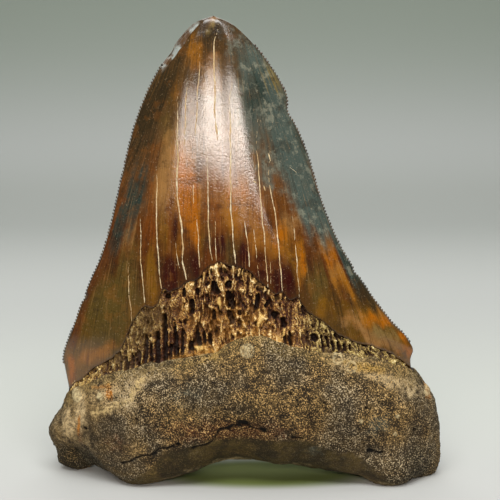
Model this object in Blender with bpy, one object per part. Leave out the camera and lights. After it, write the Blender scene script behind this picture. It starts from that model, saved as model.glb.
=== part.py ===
"""A fossil megalodon tooth, standing on the worn feet of its root.

The tooth grew as one piece, so it is one solid. Its frame is +Z up, with the tongue side of the tooth,
the side with the rough neck band, facing -Y. The origin is on the ground under the middle of the tooth.

Two sheets, a tongue-side one and a lip-side one, meet at the cutting edges and along the underside.
Each sheet is a grid of rows. The rows run from the tip down the crown, then down the neck band, then
down the root, and every row crosses from the left end (u = -1) to the right end (u = +1). Lengths are
drawn in millimetres, from the plane of the cutting edges at the crown's foot, and made metres last.
"""

import math

import bmesh
import bpy
import numpy as np
from mathutils import Matrix, Vector
from mathutils.bvhtree import BVHTree

MM = 0.001

# Grid
COLUMNS = 36
CROWN_ROWS = 23
BAND_ROWS = 3
ROOT_ROWS = 17

# Outlines, as (x, z) in millimetres: the two cutting edges from the tip down to the crown's corners
LEFT_EDGE = [(-7.4, 119.6), (-12.0, 117.9), (-16.2, 113.7), (-19.7, 108.6), (-22.9, 103.2), (-27.0, 93.7),
             (-31.1, 78.5), (-34.3, 65.5), (-36.7, 58.2), (-39.4, 52.4), (-44.0, 40.4), (-46.5, 34.2),
             (-47.3, 31.2), (-47.0, 28.4), (-46.3, 22.5)]
RIGHT_EDGE = [(-7.4, 119.6), (-3.0, 117.7), (1.0, 114.3), (5.8, 108.7), (9.4, 103.2), (11.1, 99.4),
              (11.3, 95.6), (13.3, 92.2), (16.0, 86.0), (19.9, 73.4), (24.1, 63.1), (30.4, 52.6),
              (38.1, 42.0), (43.1, 36.5), (44.4, 33.9), (43.8, 31.4), (44.0, 29.0)]
# The enamel's lower margin on each side, and where the neck band ends and the root's own face starts
TONGUE_MARGIN = [(-46.3, 22.5), (-39.4, 29.1), (-31.4, 35.6), (-28.4, 41.0), (-24.5, 47.4), (-20.5, 51.3),
                 (-13.5, 54.6), (-5.6, 59.0), (1.3, 57.0), (7.0, 51.8), (13.0, 50.2), (19.7, 44.1),
                 (28.6, 37.9), (38.0, 34.1), (44.0, 29.0)]
TONGUE_ROOT_TOP = [(-46.5, 21.4), (-39.0, 26.6), (-28.6, 31.4), (-16.0, 34.6), (-7.0, 36.6), (-1.0, 39.9),
                   (4.5, 40.2), (13.0, 37.2), (25.0, 35.0), (34.0, 33.6), (45.2, 28.6)]
LIP_MARGIN = [(-46.3, 22.5), (-36.0, 30.0), (-22.0, 37.0), (-2.0, 42.5), (18.0, 40.5), (33.0, 35.4),
              (44.0, 29.0)]
LIP_ROOT_TOP = [(-46.5, 21.4), (-36.0, 28.4), (-22.0, 35.2), (-2.0, 40.6), (18.0, 38.8), (33.0, 33.8),
                (45.2, 28.6)]
# The root's two ends, and its underside from the left lobe over the arch to the right lobe
ROOT_LEFT_END = [(-46.5, 21.4), (-47.8, 19.0), (-49.1, 16.4), (-51.0, 13.4), (-51.9, 10.6), (-50.6, 6.8),
                 (-48.0, 3.4)]
ROOT_RIGHT_END = [(45.2, 28.6), (46.8, 27.0), (48.1, 25.0), (49.8, 21.6), (51.2, 16.2), (51.7, 10.4),
                  (51.6, 5.2), (50.4, 0.6)]
UNDERSIDE = [(-48.0, 3.4), (-43.0, 3.2), (-36.0, 1.2), (-28.5, -0.7), (-20.0, 0.2), (-12.0, 2.6),
             (-4.0, 4.5), (5.0, 4.5), (14.0, 3.6), (22.0, 2.4), (30.0, 0.8), (37.0, -0.7), (44.0, -0.7),
             (50.4, 0.6)]

# Depths, in millimetres from the plane of the cutting edges, as (share of the way down, tongue side,
# lip side): the crown from its tip to the enamel's margin, and the root from its ledge to the underside
CROWN_DEPTHS = [(0.0, 0.0, 0.0), (0.03, 0.9, 0.7), (0.1, 2.2, 1.6), (0.2, 3.8, 2.6), (0.4, 6.1, 4.1),
                (0.6, 7.8, 5.1), (0.8, 8.9, 5.7), (1.0, 9.4, 6.0)]
ROOT_DEPTHS = [(0.0, 12.4, 8.2), (0.2, 14.0, 9.2), (0.4, 14.8, 9.8), (0.62, 14.4, 9.9), (0.82, 13.0, 9.4),
               (1.0, 11.6, 8.6)]
ENAMEL_STEP = 0.5
BAND_HOLLOW = 0.5
ROOT_LEDGE = 0.9
# Where the plane of the cutting edges lies in Y: it leans back at the tip and bends back at the left lobe
TIP_LEAN = 3.2
LEFT_LOBE_BEND = 4.6
RIGHT_LOBE_BEND = 1.4
UNDERSIDE_RADIUS = 7.5
# How far that plane stands behind the origin, which puts the origin under the middle of the tooth
SETBACK = 2.5

# Serrations of the cutting edges, and the shares of each edge that they run between
SERRATION_PITCH = 0.85
SERRATION_HEIGHT = 0.32
SERRATED_LEFT = (0.17, 0.93)
SERRATED_RIGHT = (0.12, 0.93)

# Lumps and dents, as (x, y, z, reach, height) in millimetres: the surface near the point moves out by
# up to the height, or in where the height is negative. Feet and lobes of the root first, then its faces,
# then the places where the cutting edges are chipped.
RELIEF = [(-28.0, -8.0, 3.0, 9.0, 1.8), (40.0, -8.5, 3.0, 11.0, 2.6), (-44.4, 6.4, 2.6, 8.0, 5.4),
          (48.0, 2.0, 3.0, 8.0, 1.6), (-43.6, -7.0, 3.0, 8.5, -3.4), (-46.6, -2.0, 6.0, 5.0, -1.4),
          (-2.0, -13.0, 8.5, 15.0, -2.4), (16.0, -13.0, 8.0, 12.0, -1.3), (4.0, -15.0, 22.0, 12.0, 0.9),
          (-22.0, -14.0, 22.0, 10.0, 0.8), (30.0, -14.0, 23.0, 12.0, 0.9), (43.0, -8.0, 18.0, 9.0, 0.8),
          (-38.0, -9.0, 20.0, 9.0, 0.9), (20.0, -15.0, 17.0, 7.0, -0.7), (-30.0, -13.0, 17.0, 6.0, -0.6),
          (-12.0, -15.0, 16.0, 7.0, 0.5), (-24.0, 9.0, 18.0, 12.0, 0.9), (24.0, 9.0, 16.0, 13.0, 1.0),
          (0.0, 9.0, 15.0, 14.0, -1.3), (-40.0, 9.0, 14.0, 7.0, -0.8), (42.0, 7.0, 20.0, 7.0, -0.7),
          (-18.4, 2.8, 110.6, 3.0, -0.3), (-41.0, 0.5, 48.0, 2.0, -0.4), (29.0, 0.5, 54.8, 1.8, -0.4)]

# Slots between the fibres of the neck band, holes higher up in it, and cracks of the root:
# (x, z, width, height, turn in degrees)
SLOTS = [(-32.4, 30.9, 0.9, 1.6, 0), (-31.2, 31.4, 0.9, 1.9, 0), (-29.7, 32.3, 1.2, 3.1, 0),
         (-28.1, 33.0, 0.8, 3.6, 0), (-26.5, 33.8, 1.2, 4.4, 0), (-24.7, 35.7, 1.1, 6.6, 5),
         (-23.3, 35.0, 0.8, 5.2, 0), (-21.6, 36.9, 1.3, 7.9, 0), (-19.7, 39.2, 1.3, 12.4, 0),
         (-18.3, 36.0, 0.8, 4.1, 0), (-17.0, 38.8, 1.1, 8.6, -3), (-15.3, 38.3, 0.8, 7.0, 0),
         (-13.0, 37.7, 1.1, 2.2, 0), (-11.1, 39.2, 1.2, 4.9, -10), (-9.7, 39.8, 0.8, 3.9, -6),
         (-8.2, 39.5, 1.0, 3.0, -6), (10.7, 39.4, 0.8, 2.9, -8), (11.9, 39.8, 0.9, 2.9, -8),
         (18.2, 39.6, 1.9, 2.6, -30), (20.1, 38.4, 1.0, 3.1, -12), (21.5, 38.2, 1.1, 3.4, -12),
         (22.9, 37.2, 1.1, 2.6, -12), (24.4, 37.0, 1.1, 2.2, -12), (25.9, 36.7, 1.1, 1.9, -12),
         (27.4, 36.4, 1.1, 1.7, -12)]
HOLES = [(-7.0, 52.4, 1.8, 3.3, -15), (-3.6, 53.2, 1.4, 2.0, 0), (-3.1, 49.4, 1.9, 4.4, -14),
         (-3.0, 45.0, 1.4, 3.3, -10), (3.6, 48.6, 1.2, 4.3, 8), (-12.8, 47.7, 1.3, 3.5, 0),
         (-11.4, 51.2, 0.9, 1.8, 0), (-0.8, 46.2, 1.0, 1.2, 0), (-18.8, 49.9, 1.4, 1.1, 0),
         (-14.9, 51.0, 0.8, 2.1, 0), (6.2, 48.3, 0.9, 2.2, 40), (8.1, 45.4, 1.3, 1.6, -20),
         (10.5, 43.6, 1.2, 2.4, -10), (-7.4, 45.6, 0.9, 2.4, 0)]
CRACKS = [(0.0, 18.3, 3.2, 1.1, 4), (-16.4, 12.9, 1.3, 0.9, 0), (-26.4, 9.2, 10.4, 0.5, -14),
          (-18.8, 11.6, 4.0, 0.5, -12), (32.3, 10.7, 5.4, 0.4, 0), (5.2, 17.4, 4.6, 0.4, 12),
          (-5.0, 17.2, 4.2, 0.4, -20)]
SLOT_DEPTH = 1.2

COLOURS = {"enamel": ((0.165, 0.085, 0.035), 0.28), "neck_band": ((0.33, 0.24, 0.13), 0.75),
           "root": ((0.13, 0.115, 0.09), 0.85)}


def clear_scene():
    for old in list(bpy.data.objects):
        bpy.data.objects.remove(old)


def collection_named(name):
    made = bpy.data.collections.new(name)
    bpy.context.scene.collection.children.link(made)
    return made


def hermite(knots, where):
    """A smooth curve through knots (place, value...), read at each place in where."""
    table = np.array(knots, float)
    place, value = table[:, 0], table[:, 1:]
    slope = np.gradient(value, place, axis=0)
    where = np.clip(where, place[0], place[-1])
    cell = np.clip(np.searchsorted(place, where) - 1, 0, len(place) - 2)
    width = (place[cell + 1] - place[cell])[:, None]
    t = ((where - place[cell]) / (place[cell + 1] - place[cell]))[:, None]
    return (value[cell] * (1 + 2 * t) * (1 - t) ** 2 + slope[cell] * width * t * (1 - t) ** 2
            + value[cell + 1] * t ** 2 * (3 - 2 * t) + slope[cell + 1] * width * t ** 2 * (t - 1))


def along(outline, shares):
    """Points of the smooth line through the outline's points, at these shares of its length."""
    points = np.array(outline, float)
    length = np.concatenate([[0], np.cumsum(np.linalg.norm(np.diff(points, axis=0), axis=1))])
    return hermite(np.column_stack([length / length[-1], points]), np.asarray(shares, float))


def height_of(line, x):
    return hermite(line, np.atleast_1d(np.asarray(x, float)))[:, 0]


def smooth_step(low, high, value):
    t = np.clip((value - low) / (high - low), 0, 1)
    return t * t * (3 - 2 * t)


def columns_at(row_share):
    """Where the columns stand, from u = -1 to +1. They crowd towards the ends more on the round root."""
    even = np.linspace(-1, 1, COLUMNS + 1)
    crowding = 0.35 + 0.6 * row_share
    return (1 - crowding) * even + crowding * np.sin(even * math.pi / 2)


def lens(u, sharpness=0.82):
    """The crown's section: sharp at both cutting edges."""
    return (1 - np.abs(u) ** 2.1) ** sharpness


def rounded(u, squareness=2.3):
    """The root's section: a rounded oblong."""
    return (1 - np.clip(np.abs(u), 0, 1) ** squareness) ** (1 / squareness)


def edge_plane(u, height):
    """Y of the plane that the two sheets meet in."""
    lean = TIP_LEAN * smooth_step(25, 120, height) ** 1.2
    low = 1 - smooth_step(15, 45, height)
    bend = np.where(u < 0, LEFT_LOBE_BEND, RIGHT_LOBE_BEND) * np.abs(u) ** 2.5
    return lean + bend * low


def crown_row(share, side):
    """One row of the crown. Rows start level at the tip and bow up to the enamel's margin at share 1."""
    u = columns_at(0.0)
    across = (u + 1) / 2
    left, right = along(LEFT_EDGE, [share])[0], along(RIGHT_EDGE, [share])[0]
    x = left[0] + across * (right[0] - left[0])
    level = left[1] + across * (right[1] - left[1])
    corner_left, corner_right = np.array(LEFT_EDGE[-1]), np.array(RIGHT_EDGE[-1])
    margin = TONGUE_MARGIN if side == "tongue" else LIP_MARGIN
    base = corner_left + across[:, None] * (corner_right - corner_left)
    rise = height_of(margin, base[:, 0]) - base[:, 1]
    z = level + share ** 1.15 * rise
    depth = hermite(CROWN_DEPTHS, np.array([share]))[0]
    y = edge_plane(u, z) + (-depth[0] if side == "tongue" else depth[1]) * lens(u)
    return np.column_stack([x, y, z])


def band_row(share, side):
    """One row of the neck band, from under the enamel's step to the ledge of the root."""
    u = columns_at(0.35 * share)
    across = (u + 1) / 2
    margin, top = (TONGUE_MARGIN, TONGUE_ROOT_TOP) if side == "tongue" else (LIP_MARGIN, LIP_ROOT_TOP)
    x_high = margin[0][0] + across * (margin[-1][0] - margin[0][0])
    x_low = top[0][0] + across * (top[-1][0] - top[0][0])
    x = x_high + share * (x_low - x_high)
    z = (1 - share) * height_of(margin, x_high) + share * height_of(top, x_low)
    out = -1 if side == "tongue" else 1
    column = 1 if side == "tongue" else 2
    crown_depth, root_depth = CROWN_DEPTHS[-1][column], ROOT_DEPTHS[0][column]
    section = (1 - 0.5 * share) * lens(u) + 0.5 * share * rounded(u)
    depth = (crown_depth + share * (root_depth - crown_depth)) * section
    step = ENAMEL_STEP + BAND_HOLLOW * math.sin(math.pi * share) + (ROOT_LEDGE - ENAMEL_STEP) * share
    depth -= step * smooth_step(0.0, 0.06, 1 - np.abs(u))
    return np.column_stack([x, edge_plane(u, z) + out * np.maximum(depth, 0), z])


def root_row(share, side):
    """One row of the root. Rows crowd towards the underside, where the two sheets meet."""
    fall = math.sin(share * math.pi / 2)
    u = columns_at(0.35 + 0.65 * min(1.0, share * 2.5))
    across = (u + 1) / 2
    top = TONGUE_ROOT_TOP if side == "tongue" else LIP_ROOT_TOP
    x_high = top[0][0] + across * (top[-1][0] - top[0][0])
    x_low = UNDERSIDE[0][0] + across * (UNDERSIDE[-1][0] - UNDERSIDE[0][0])
    x = x_high + fall * (x_low - x_high)
    z = (1 - fall) * height_of(top, x_high) + fall * height_of(UNDERSIDE, x_low)
    for end, outline, weight in ((0, ROOT_LEFT_END, (1 - across) ** 4), (-1, ROOT_RIGHT_END, across ** 4)):
        bulge = along(outline, [fall])[0] - np.array([x[end], z[end]])
        x = x + weight * bulge[0]
        z = z + weight * bulge[1]
    column = 1 if side == "tongue" else 2
    depth = hermite(ROOT_DEPTHS, np.array([fall]))[0, column - 1]
    blend = smooth_step(0.0, 0.35, share)
    section = (0.5 * (1 - blend)) * lens(u) + (0.5 + 0.5 * blend) * rounded(u)
    clearance = np.clip((z - height_of(UNDERSIDE, x_low)) / UNDERSIDE_RADIUS, 0, 1)
    turn = (1 - (1 - clearance) ** 2.6) ** (1 / 2.6)
    out = -1 if side == "tongue" else 1
    return np.column_stack([x, edge_plane(u, z) + out * depth * section * turn, z])


def serrated_chain(outline, start, stop, serrated, outward):
    """Rim points between two rows of the crown, one at each crest and each notch of the serrations."""
    length = sum(math.dist(a, b) for a, b in zip(outline, outline[1:]))
    teeth = max(1, round((stop - start) * length / SERRATION_PITCH))
    middle = (start + stop) / 2
    if not serrated[0] < middle < serrated[1]:
        return []
    shares = np.linspace(start, stop, 2 * teeth + 1)[1:-1]
    points = along(outline, shares)
    after = along(outline, shares + 0.001) - points
    normal = np.column_stack([-after[:, 1], after[:, 0]]) * outward
    normal /= np.linalg.norm(normal, axis=1)[:, None]
    crest = np.where(np.arange(len(shares)) % 2 == 0, SERRATION_HEIGHT, 0.0)
    points = points + normal * crest[:, None]
    return [(x, float(edge_plane(np.float64(outward), z)), z) for x, z in points]


def serration_fans(chain, high, low, leftward):
    """Triangles from two points inside the edge to the rim points of one row of serrations."""
    middle = len(chain) // 2
    fans = [[high, a, b] for a, b in zip(chain[:middle], chain[1:])]
    fans += [[low, a, b] for a, b in zip(chain[middle:], chain[middle + 1:])]
    fans.append([high, chain[middle], low])
    return fans if leftward else [fan[::-1] for fan in fans]


def build_grid():
    """The two sheets, joined at the rim and along the underside, as a closed mesh in millimetres."""
    crown_shares = [(i / CROWN_ROWS) ** 1.4 for i in range(CROWN_ROWS + 1)]
    band_shares = [(i + 0.12) / (BAND_ROWS - 1 + 0.12) for i in range(BAND_ROWS)]
    root_shares = [(i + 0.35) / (ROOT_ROWS - 1 + 0.35) for i in range(ROOT_ROWS)]
    rows = ([(crown_row, share, "enamel") for share in crown_shares]
            + [(band_row, share, "neck_band") for share in band_shares]
            + [(root_row, share, "root") for share in root_shares])
    mesh = bmesh.new()
    sheets = {"tongue": [], "lip": []}
    for index, (shape, share, _) in enumerate(rows):
        made = {side: shape(share, side) for side in sheets}
        if index == 0:
            tip = mesh.verts.new(made["tongue"][0])
            for side in sheets:
                sheets[side].append([tip] * (COLUMNS + 1))
            continue
        tongue = [mesh.verts.new(point) for point in made["tongue"]]
        if index == len(rows) - 1:
            lip = tongue
        else:
            inner = [mesh.verts.new(point) for point in made["lip"][1:-1]]
            lip = [tongue[0], *inner, tongue[-1]]
        sheets["tongue"].append(tongue)
        sheets["lip"].append(lip)
    finishes = list(COLOURS)
    for index in range(len(rows) - 1):
        finish = finishes.index(rows[index + 1][2])
        teeth = {}
        if index < CROWN_ROWS:
            ends = (crown_shares[index], crown_shares[index + 1])
            left = serrated_chain(LEFT_EDGE, *ends, SERRATED_LEFT, -1)
            right = serrated_chain(RIGHT_EDGE, *ends, SERRATED_RIGHT, 1)
            teeth[0] = [mesh.verts.new(point) for point in left]
            teeth[COLUMNS - 1] = [mesh.verts.new(point) for point in right]
        for side, grid in sheets.items():
            high, low = grid[index], grid[index + 1]
            for column in range(COLUMNS):
                inner = column + 1 if column == 0 else column
                rim = 0 if column == 0 else COLUMNS
                corners = [[high[column], low[column], low[column + 1], high[column + 1]]]
                if teeth.get(column):
                    chain = [high[rim], *teeth[column], low[rim]]
                    corners = serration_fans(chain, high[inner], low[inner], leftward=rim == 0)
                for ring in corners:
                    ring = list(dict.fromkeys(ring))
                    face = mesh.faces.new(ring if side == "tongue" else ring[::-1])
                    face.material_index = finish
                    face.smooth = True
    return mesh


def shape_relief(mesh):
    """Moves the surface out into lumps and in at dents and chips, along its own normals."""
    mesh.normal_update()
    outward = [vertex.normal.copy() for vertex in mesh.verts]
    for vertex, normal in zip(mesh.verts, outward):
        height = 0.0
        for x, y, z, reach, most in RELIEF:
            near = 1 - (vertex.co - Vector((x, y, z))).length / reach
            if near > 0:
                height += most * near * near * (3 - 2 * near)
        vertex.co += normal * height


def wear_flat(mesh):
    """Cuts the feet off at the ground, which leaves the worn flats that the tooth stands on."""
    everything = [*mesh.verts, *mesh.edges, *mesh.faces]
    cut = bmesh.ops.bisect_plane(mesh, geom=everything, dist=1e-5, plane_co=(0, 0, 0),
                                 plane_no=(0, 0, 1), clear_inner=True)
    rims = [item for item in cut["geom_cut"] if isinstance(item, bmesh.types.BMEdge)]
    flats = bmesh.ops.edgenet_fill(mesh, edges=rims)["faces"]
    for flat in flats:
        flat.material_index = list(COLOURS).index("root")
        if flat.normal.z > 0:
            flat.normal_flip()


def make_material(name):
    (red, green, blue), roughness = COLOURS[name]
    material = bpy.data.materials.new(name)
    material.use_nodes = True
    shader = material.node_tree.nodes["Principled BSDF"]
    shader.inputs["Base Color"].default_value = (red, green, blue, 1)
    shader.inputs["Roughness"].default_value = roughness
    material.diffuse_color = (red, green, blue, 1)
    return material


def make_pit_cutters(tooth, collection):
    """One egg-shaped cutter for each slot, hole and crack, sunk into the tongue side."""
    surface = BVHTree.FromObject(tooth, bpy.context.evaluated_depsgraph_get())
    mesh = bmesh.new()
    for x, z, width, height, turn in SLOTS + HOLES + CRACKS:
        start = Vector((x, -60, z)) * MM
        hit, _, _, _ = surface.ray_cast(start, Vector((0, 1, 0)))
        egg = bmesh.ops.create_uvsphere(mesh, u_segments=8, v_segments=4, radius=MM)["verts"]
        bmesh.ops.scale(mesh, verts=egg, vec=(width * 0.55, SLOT_DEPTH, height * 0.5))
        bmesh.ops.rotate(mesh, verts=egg, matrix=Matrix.Rotation(math.radians(turn), 3, "Y"))
        bmesh.ops.translate(mesh, verts=egg, vec=hit)
    data = bpy.data.meshes.new("pit_cutters")
    mesh.to_mesh(data)
    mesh.free()
    cutters = bpy.data.objects.new("pit_cutters", data)
    cutters.hide_render = True
    cutters.display_type = "WIRE"
    collection.objects.link(cutters)
    return cutters


def make_tooth(collection):
    mesh = build_grid()
    shape_relief(mesh)
    wear_flat(mesh)
    bmesh.ops.translate(mesh, verts=mesh.verts, vec=(0, SETBACK, 0))
    bmesh.ops.scale(mesh, verts=mesh.verts, vec=(MM, MM, MM))
    data = bpy.data.meshes.new("tooth")
    mesh.to_mesh(data)
    mesh.free()
    for name in COLOURS:
        data.materials.append(make_material(name))
    tooth = bpy.data.objects.new("tooth", data)
    collection.objects.link(tooth)
    return tooth


def main():
    clear_scene()
    tooth = make_tooth(collection_named("megalodon_tooth"))
    bpy.context.view_layer.update()
    pits = tooth.modifiers.new("pits", "BOOLEAN")
    pits.operation = "DIFFERENCE"
    pits.solver = "EXACT"
    pits.object = make_pit_cutters(tooth, collection_named("cutters"))
    tooth.data.set_sharp_from_angle(angle=math.radians(50))


main()
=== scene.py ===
# %% [markdown]
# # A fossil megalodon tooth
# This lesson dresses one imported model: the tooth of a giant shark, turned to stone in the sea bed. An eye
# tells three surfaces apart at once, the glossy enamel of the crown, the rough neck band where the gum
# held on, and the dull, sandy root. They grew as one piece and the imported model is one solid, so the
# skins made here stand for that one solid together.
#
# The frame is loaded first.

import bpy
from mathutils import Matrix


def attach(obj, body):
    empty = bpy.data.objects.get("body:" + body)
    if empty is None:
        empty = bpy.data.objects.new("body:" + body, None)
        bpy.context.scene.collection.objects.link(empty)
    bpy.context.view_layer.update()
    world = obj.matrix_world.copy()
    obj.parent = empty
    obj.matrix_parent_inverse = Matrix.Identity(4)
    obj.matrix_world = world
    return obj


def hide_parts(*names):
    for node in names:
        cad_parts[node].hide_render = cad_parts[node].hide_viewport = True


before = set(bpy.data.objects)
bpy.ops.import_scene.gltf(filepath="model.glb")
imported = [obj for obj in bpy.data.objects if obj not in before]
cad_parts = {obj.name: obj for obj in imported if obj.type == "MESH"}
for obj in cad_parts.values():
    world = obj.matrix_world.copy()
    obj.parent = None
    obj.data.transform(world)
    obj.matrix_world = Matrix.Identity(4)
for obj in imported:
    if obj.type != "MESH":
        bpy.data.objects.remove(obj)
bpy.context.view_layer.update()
print("packed model:", sorted(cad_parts))

# %% [markdown]
# ## Smooth lines through a few points
# A tooth has no straight line in it, so its outline could be drawn with Bezier curves. Here each outline
# is a short list of points in millimetres, (x, z) seen from the front, with a smooth curve through them
# worked out by a formula. The skins can then be as fine as they need to be, and always keep one form.

# %% Curves and soft steps
import itertools
import math
from types import SimpleNamespace

import bpy
import numpy as np
from mathutils import Vector
from mathutils.bvhtree import BVHTree

MM = 0.001


def curve_through(knots, where):
    """A smooth curve through knots (place, value...), read at each place in where."""
    table = np.array(knots, float)
    place, value = table[:, 0], table[:, 1:]
    slope = np.gradient(value, place, axis=0)
    where = np.clip(np.asarray(where, float), place[0], place[-1])
    cell = np.clip(np.searchsorted(place, where) - 1, 0, len(place) - 2)
    width = (place[cell + 1] - place[cell])[..., None]
    t = (where - place[cell])[..., None] / width
    return (value[cell] * (1 + 2 * t) * (1 - t) ** 2 + slope[cell] * width * t * (1 - t) ** 2
            + value[cell + 1] * t ** 2 * (3 - 2 * t) + slope[cell + 1] * width * t ** 2 * (t - 1))


def along(outline, shares):
    """Points of the smooth line through the outline's points, at these shares of its length."""
    points = np.array(outline, float)
    length = np.concatenate([[0], np.cumsum(np.linalg.norm(np.diff(points, axis=0), axis=1))])
    return curve_through(np.column_stack([length / length[-1], points]), shares)


def height_of(line, x):
    return curve_through(line, x)[..., 0]


def soft_step(low, high, value):
    """0 up to low, 1 from high on, and a smooth rise between. It falls where high is the lower one."""
    t = np.clip((value - low) / (high - low), 0, 1)
    return t * t * (3 - 2 * t)


# %% Outlines of the tooth, in millimetres
LEFT_EDGE = [(-7.4, 119.6), (-12, 117.9), (-16.2, 113.7), (-19.7, 108.6), (-22.9, 103.2), (-27, 93.7),
             (-31.1, 78.5), (-34.3, 65.5), (-36.7, 58.2), (-39.4, 52.4), (-44, 40.4), (-46.5, 34.2),
             (-47.3, 31.2), (-47, 28.4), (-46.3, 22.5)]
RIGHT_EDGE = [(-7.4, 119.6), (-3, 117.7), (1, 114.3), (5.8, 108.7), (9.4, 103.2), (11.1, 99.4),
              (11.3, 95.6), (13.3, 92.2), (16, 86), (19.9, 73.4), (24.1, 63.1), (30.4, 52.6), (38.1, 42),
              (43.1, 36.5), (44.4, 33.9), (43.8, 31.4), (44, 29)]
TONGUE_MARGIN = [(-46.3, 22.5), (-39.4, 29.1), (-31.4, 35.6), (-28.4, 41), (-24.5, 47.4), (-20.5, 51.3),
                 (-13.5, 54.6), (-5.6, 59), (1.3, 57), (7, 51.8), (13, 50.2), (19.7, 44.1), (28.6, 37.9),
                 (38, 34.1), (44, 29)]
# The same edge with its small peaks, where cracks meet it
PEAKED_MARGIN = [(-46.3, 22.5), (-39.4, 29.1), (-31.4, 35.8), (-28.2, 42.2), (-26.3, 45.2), (-24.9, 47.4),
                 (-23.2, 47.2), (-21.4, 48.6), (-20.2, 51.5), (-18.4, 51), (-14.3, 53.7), (-11.5, 54.6),
                 (-9.7, 56.4), (-7.5, 58.3), (-5.7, 59.1), (-3.7, 58.1), (-1.2, 57.6), (1.3, 56.5),
                 (4.8, 53.8), (6.8, 52), (8.4, 50.7), (9.8, 51.7), (11.8, 49.2), (14.2, 49.4),
                 (16.2, 46.2), (19.8, 43.4), (24.2, 40.1), (28.6, 37.9), (38, 34.1), (44, 29)]
TONGUE_ROOT_TOP = [(-46.5, 21.4), (-39, 26.6), (-28.6, 31.4), (-16, 34.6), (-7, 36.6), (-1, 39.9),
                   (4.5, 40.2), (13, 37.2), (25, 35), (34, 33.6), (45.2, 28.6)]
LIP_MARGIN = [(-46.3, 22.5), (-36, 30), (-22, 37), (-2, 42.5), (18, 40.5), (33, 35.4), (44, 29)]
LIP_ROOT_TOP = [(-46.5, 21.4), (-36, 28.4), (-22, 35.2), (-2, 40.6), (18, 38.8), (33, 33.8), (45.2, 28.6)]
ROOT_LEFT_END = [(-46.5, 21.4), (-47.8, 19), (-49.1, 16.4), (-51, 13.4), (-51.9, 10.6), (-50.6, 6.8),
                 (-48, 3.4)]
ROOT_RIGHT_END = [(45.2, 28.6), (46.8, 27), (48.1, 25), (49.8, 21.6), (51.2, 16.2), (51.7, 10.4),
                  (51.6, 5.2), (50.4, 0.6)]
UNDERSIDE = [(-48, 3.4), (-43, 3.2), (-36, 1.2), (-28.5, -0.7), (-20, 0.2), (-12, 2.6), (-4, 4.5),
             (5, 4.5), (14, 3.6), (22, 2.4), (30, 0.8), (37, -0.7), (44, -0.7), (50.4, 0.6)]
# (share of the way down, depth of the tongue side, depth of the lip side)
CROWN_DEPTHS = [(0, 0, 0), (0.03, 0.9, 0.7), (0.1, 2.2, 1.6), (0.2, 3.8, 2.6), (0.4, 6.1, 4.1),
                (0.6, 7.8, 5.1), (0.8, 8.9, 5.7), (1, 9.4, 6)]
ROOT_DEPTHS = [(0, 12.4, 8.2), (0.2, 14, 9.2), (0.4, 14.8, 9.8), (0.62, 14.4, 9.9), (0.82, 13, 9.4),
               (1, 11.6, 8.6)]
# How far the band lies below the enamel, sags in its middle and lies below the root's ledge
ENAMEL_STEP = 0.5
BAND_HOLLOW = 0.5
ROOT_LEDGE = 0.9
# How far the tip leans back and the ends of the two lobes bend
TIP_LEAN = 3.2
LEFT_LOBE_BEND = 4.6
RIGHT_LOBE_BEND = 1.4
UNDERSIDE_RADIUS = 7.5
# The whole tooth is moved back by this, which puts the origin under the middle of its box
SETBACK = 2.5
# Lumps and dents, as (x, y, z, reach, height)
RELIEF = [(-28, -8, 3, 9, 1.8), (40, -8.5, 3, 11, 2.6), (-44.4, 6.4, 2.6, 8, 5.4), (48, 2, 3, 8, 1.6),
          (-43.6, -7, 3, 8.5, -3.4), (-46.6, -2, 6, 5, -1.4), (-2, -13, 8.5, 15, -2.4),
          (16, -13, 8, 12, -1.3), (4, -15, 22, 12, 0.9), (-22, -14, 22, 10, 0.8), (30, -14, 23, 12, 0.9),
          (43, -8, 18, 9, 0.8), (-38, -9, 20, 9, 0.9), (20, -15, 17, 7, -0.7), (-30, -13, 17, 6, -0.6),
          (-12, -15, 16, 7, 0.5), (-24, 9, 18, 12, 0.9), (24, 9, 16, 13, 1), (0, 9, 15, 14, -1.3),
          (-40, 9, 14, 7, -0.8), (42, 7, 20, 7, -0.7), (-18.4, 2.8, 110.6, 3, -0.3),
          (-41, 0.5, 48, 2, -0.4), (29, 0.5, 54.8, 1.8, -0.4)]
print("crown height, mm:", LEFT_EDGE[0][1] - LEFT_EDGE[-1][1])

# %% [markdown]
# ## Chance that comes out the same each time
# Stone is never even. Blender's own noise could be called point by point, but a skin has about a hundred
# thousand points, so this noise works on whole arrays. It mixes a cell's whole-number place into a fixed
# random number, which gives the same tooth on every run.

# %% Noise for whole arrays
def cell_random(cells, seed):
    """A fixed random number from 0 to 1 for each whole-number cell."""
    x, y, z = (cells[..., axis].astype(np.uint64) for axis in range(3))
    mixed = x * np.uint64(73856093) ^ y * np.uint64(19349663) ^ z * np.uint64(83492791)
    mixed = (mixed ^ np.uint64(seed * 2654435761 % 2 ** 32)) * np.uint64(2246822519)
    mixed = (mixed ^ (mixed >> np.uint64(15))) * np.uint64(3266489917)
    mixed = mixed ^ (mixed >> np.uint64(16))
    return (mixed & np.uint64(0xFFFFFF)).astype(float) / 0xFFFFFF


def lumps(points, size, seed):
    """Smooth noise from -1 to 1. Its lumps are about size across, in the units of the points."""
    places = points / size
    cell = np.floor(places).astype(np.int64)
    t = places - cell
    t = t * t * (3 - 2 * t)
    total = np.zeros(points.shape[:-1])
    for corner in itertools.product((0, 1), repeat=3):
        weight = np.prod(np.where(np.array(corner) == 1, t, 1 - t), axis=-1)
        total += weight * cell_random(cell + np.array(corner), seed)
    return total * 2 - 1


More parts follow.
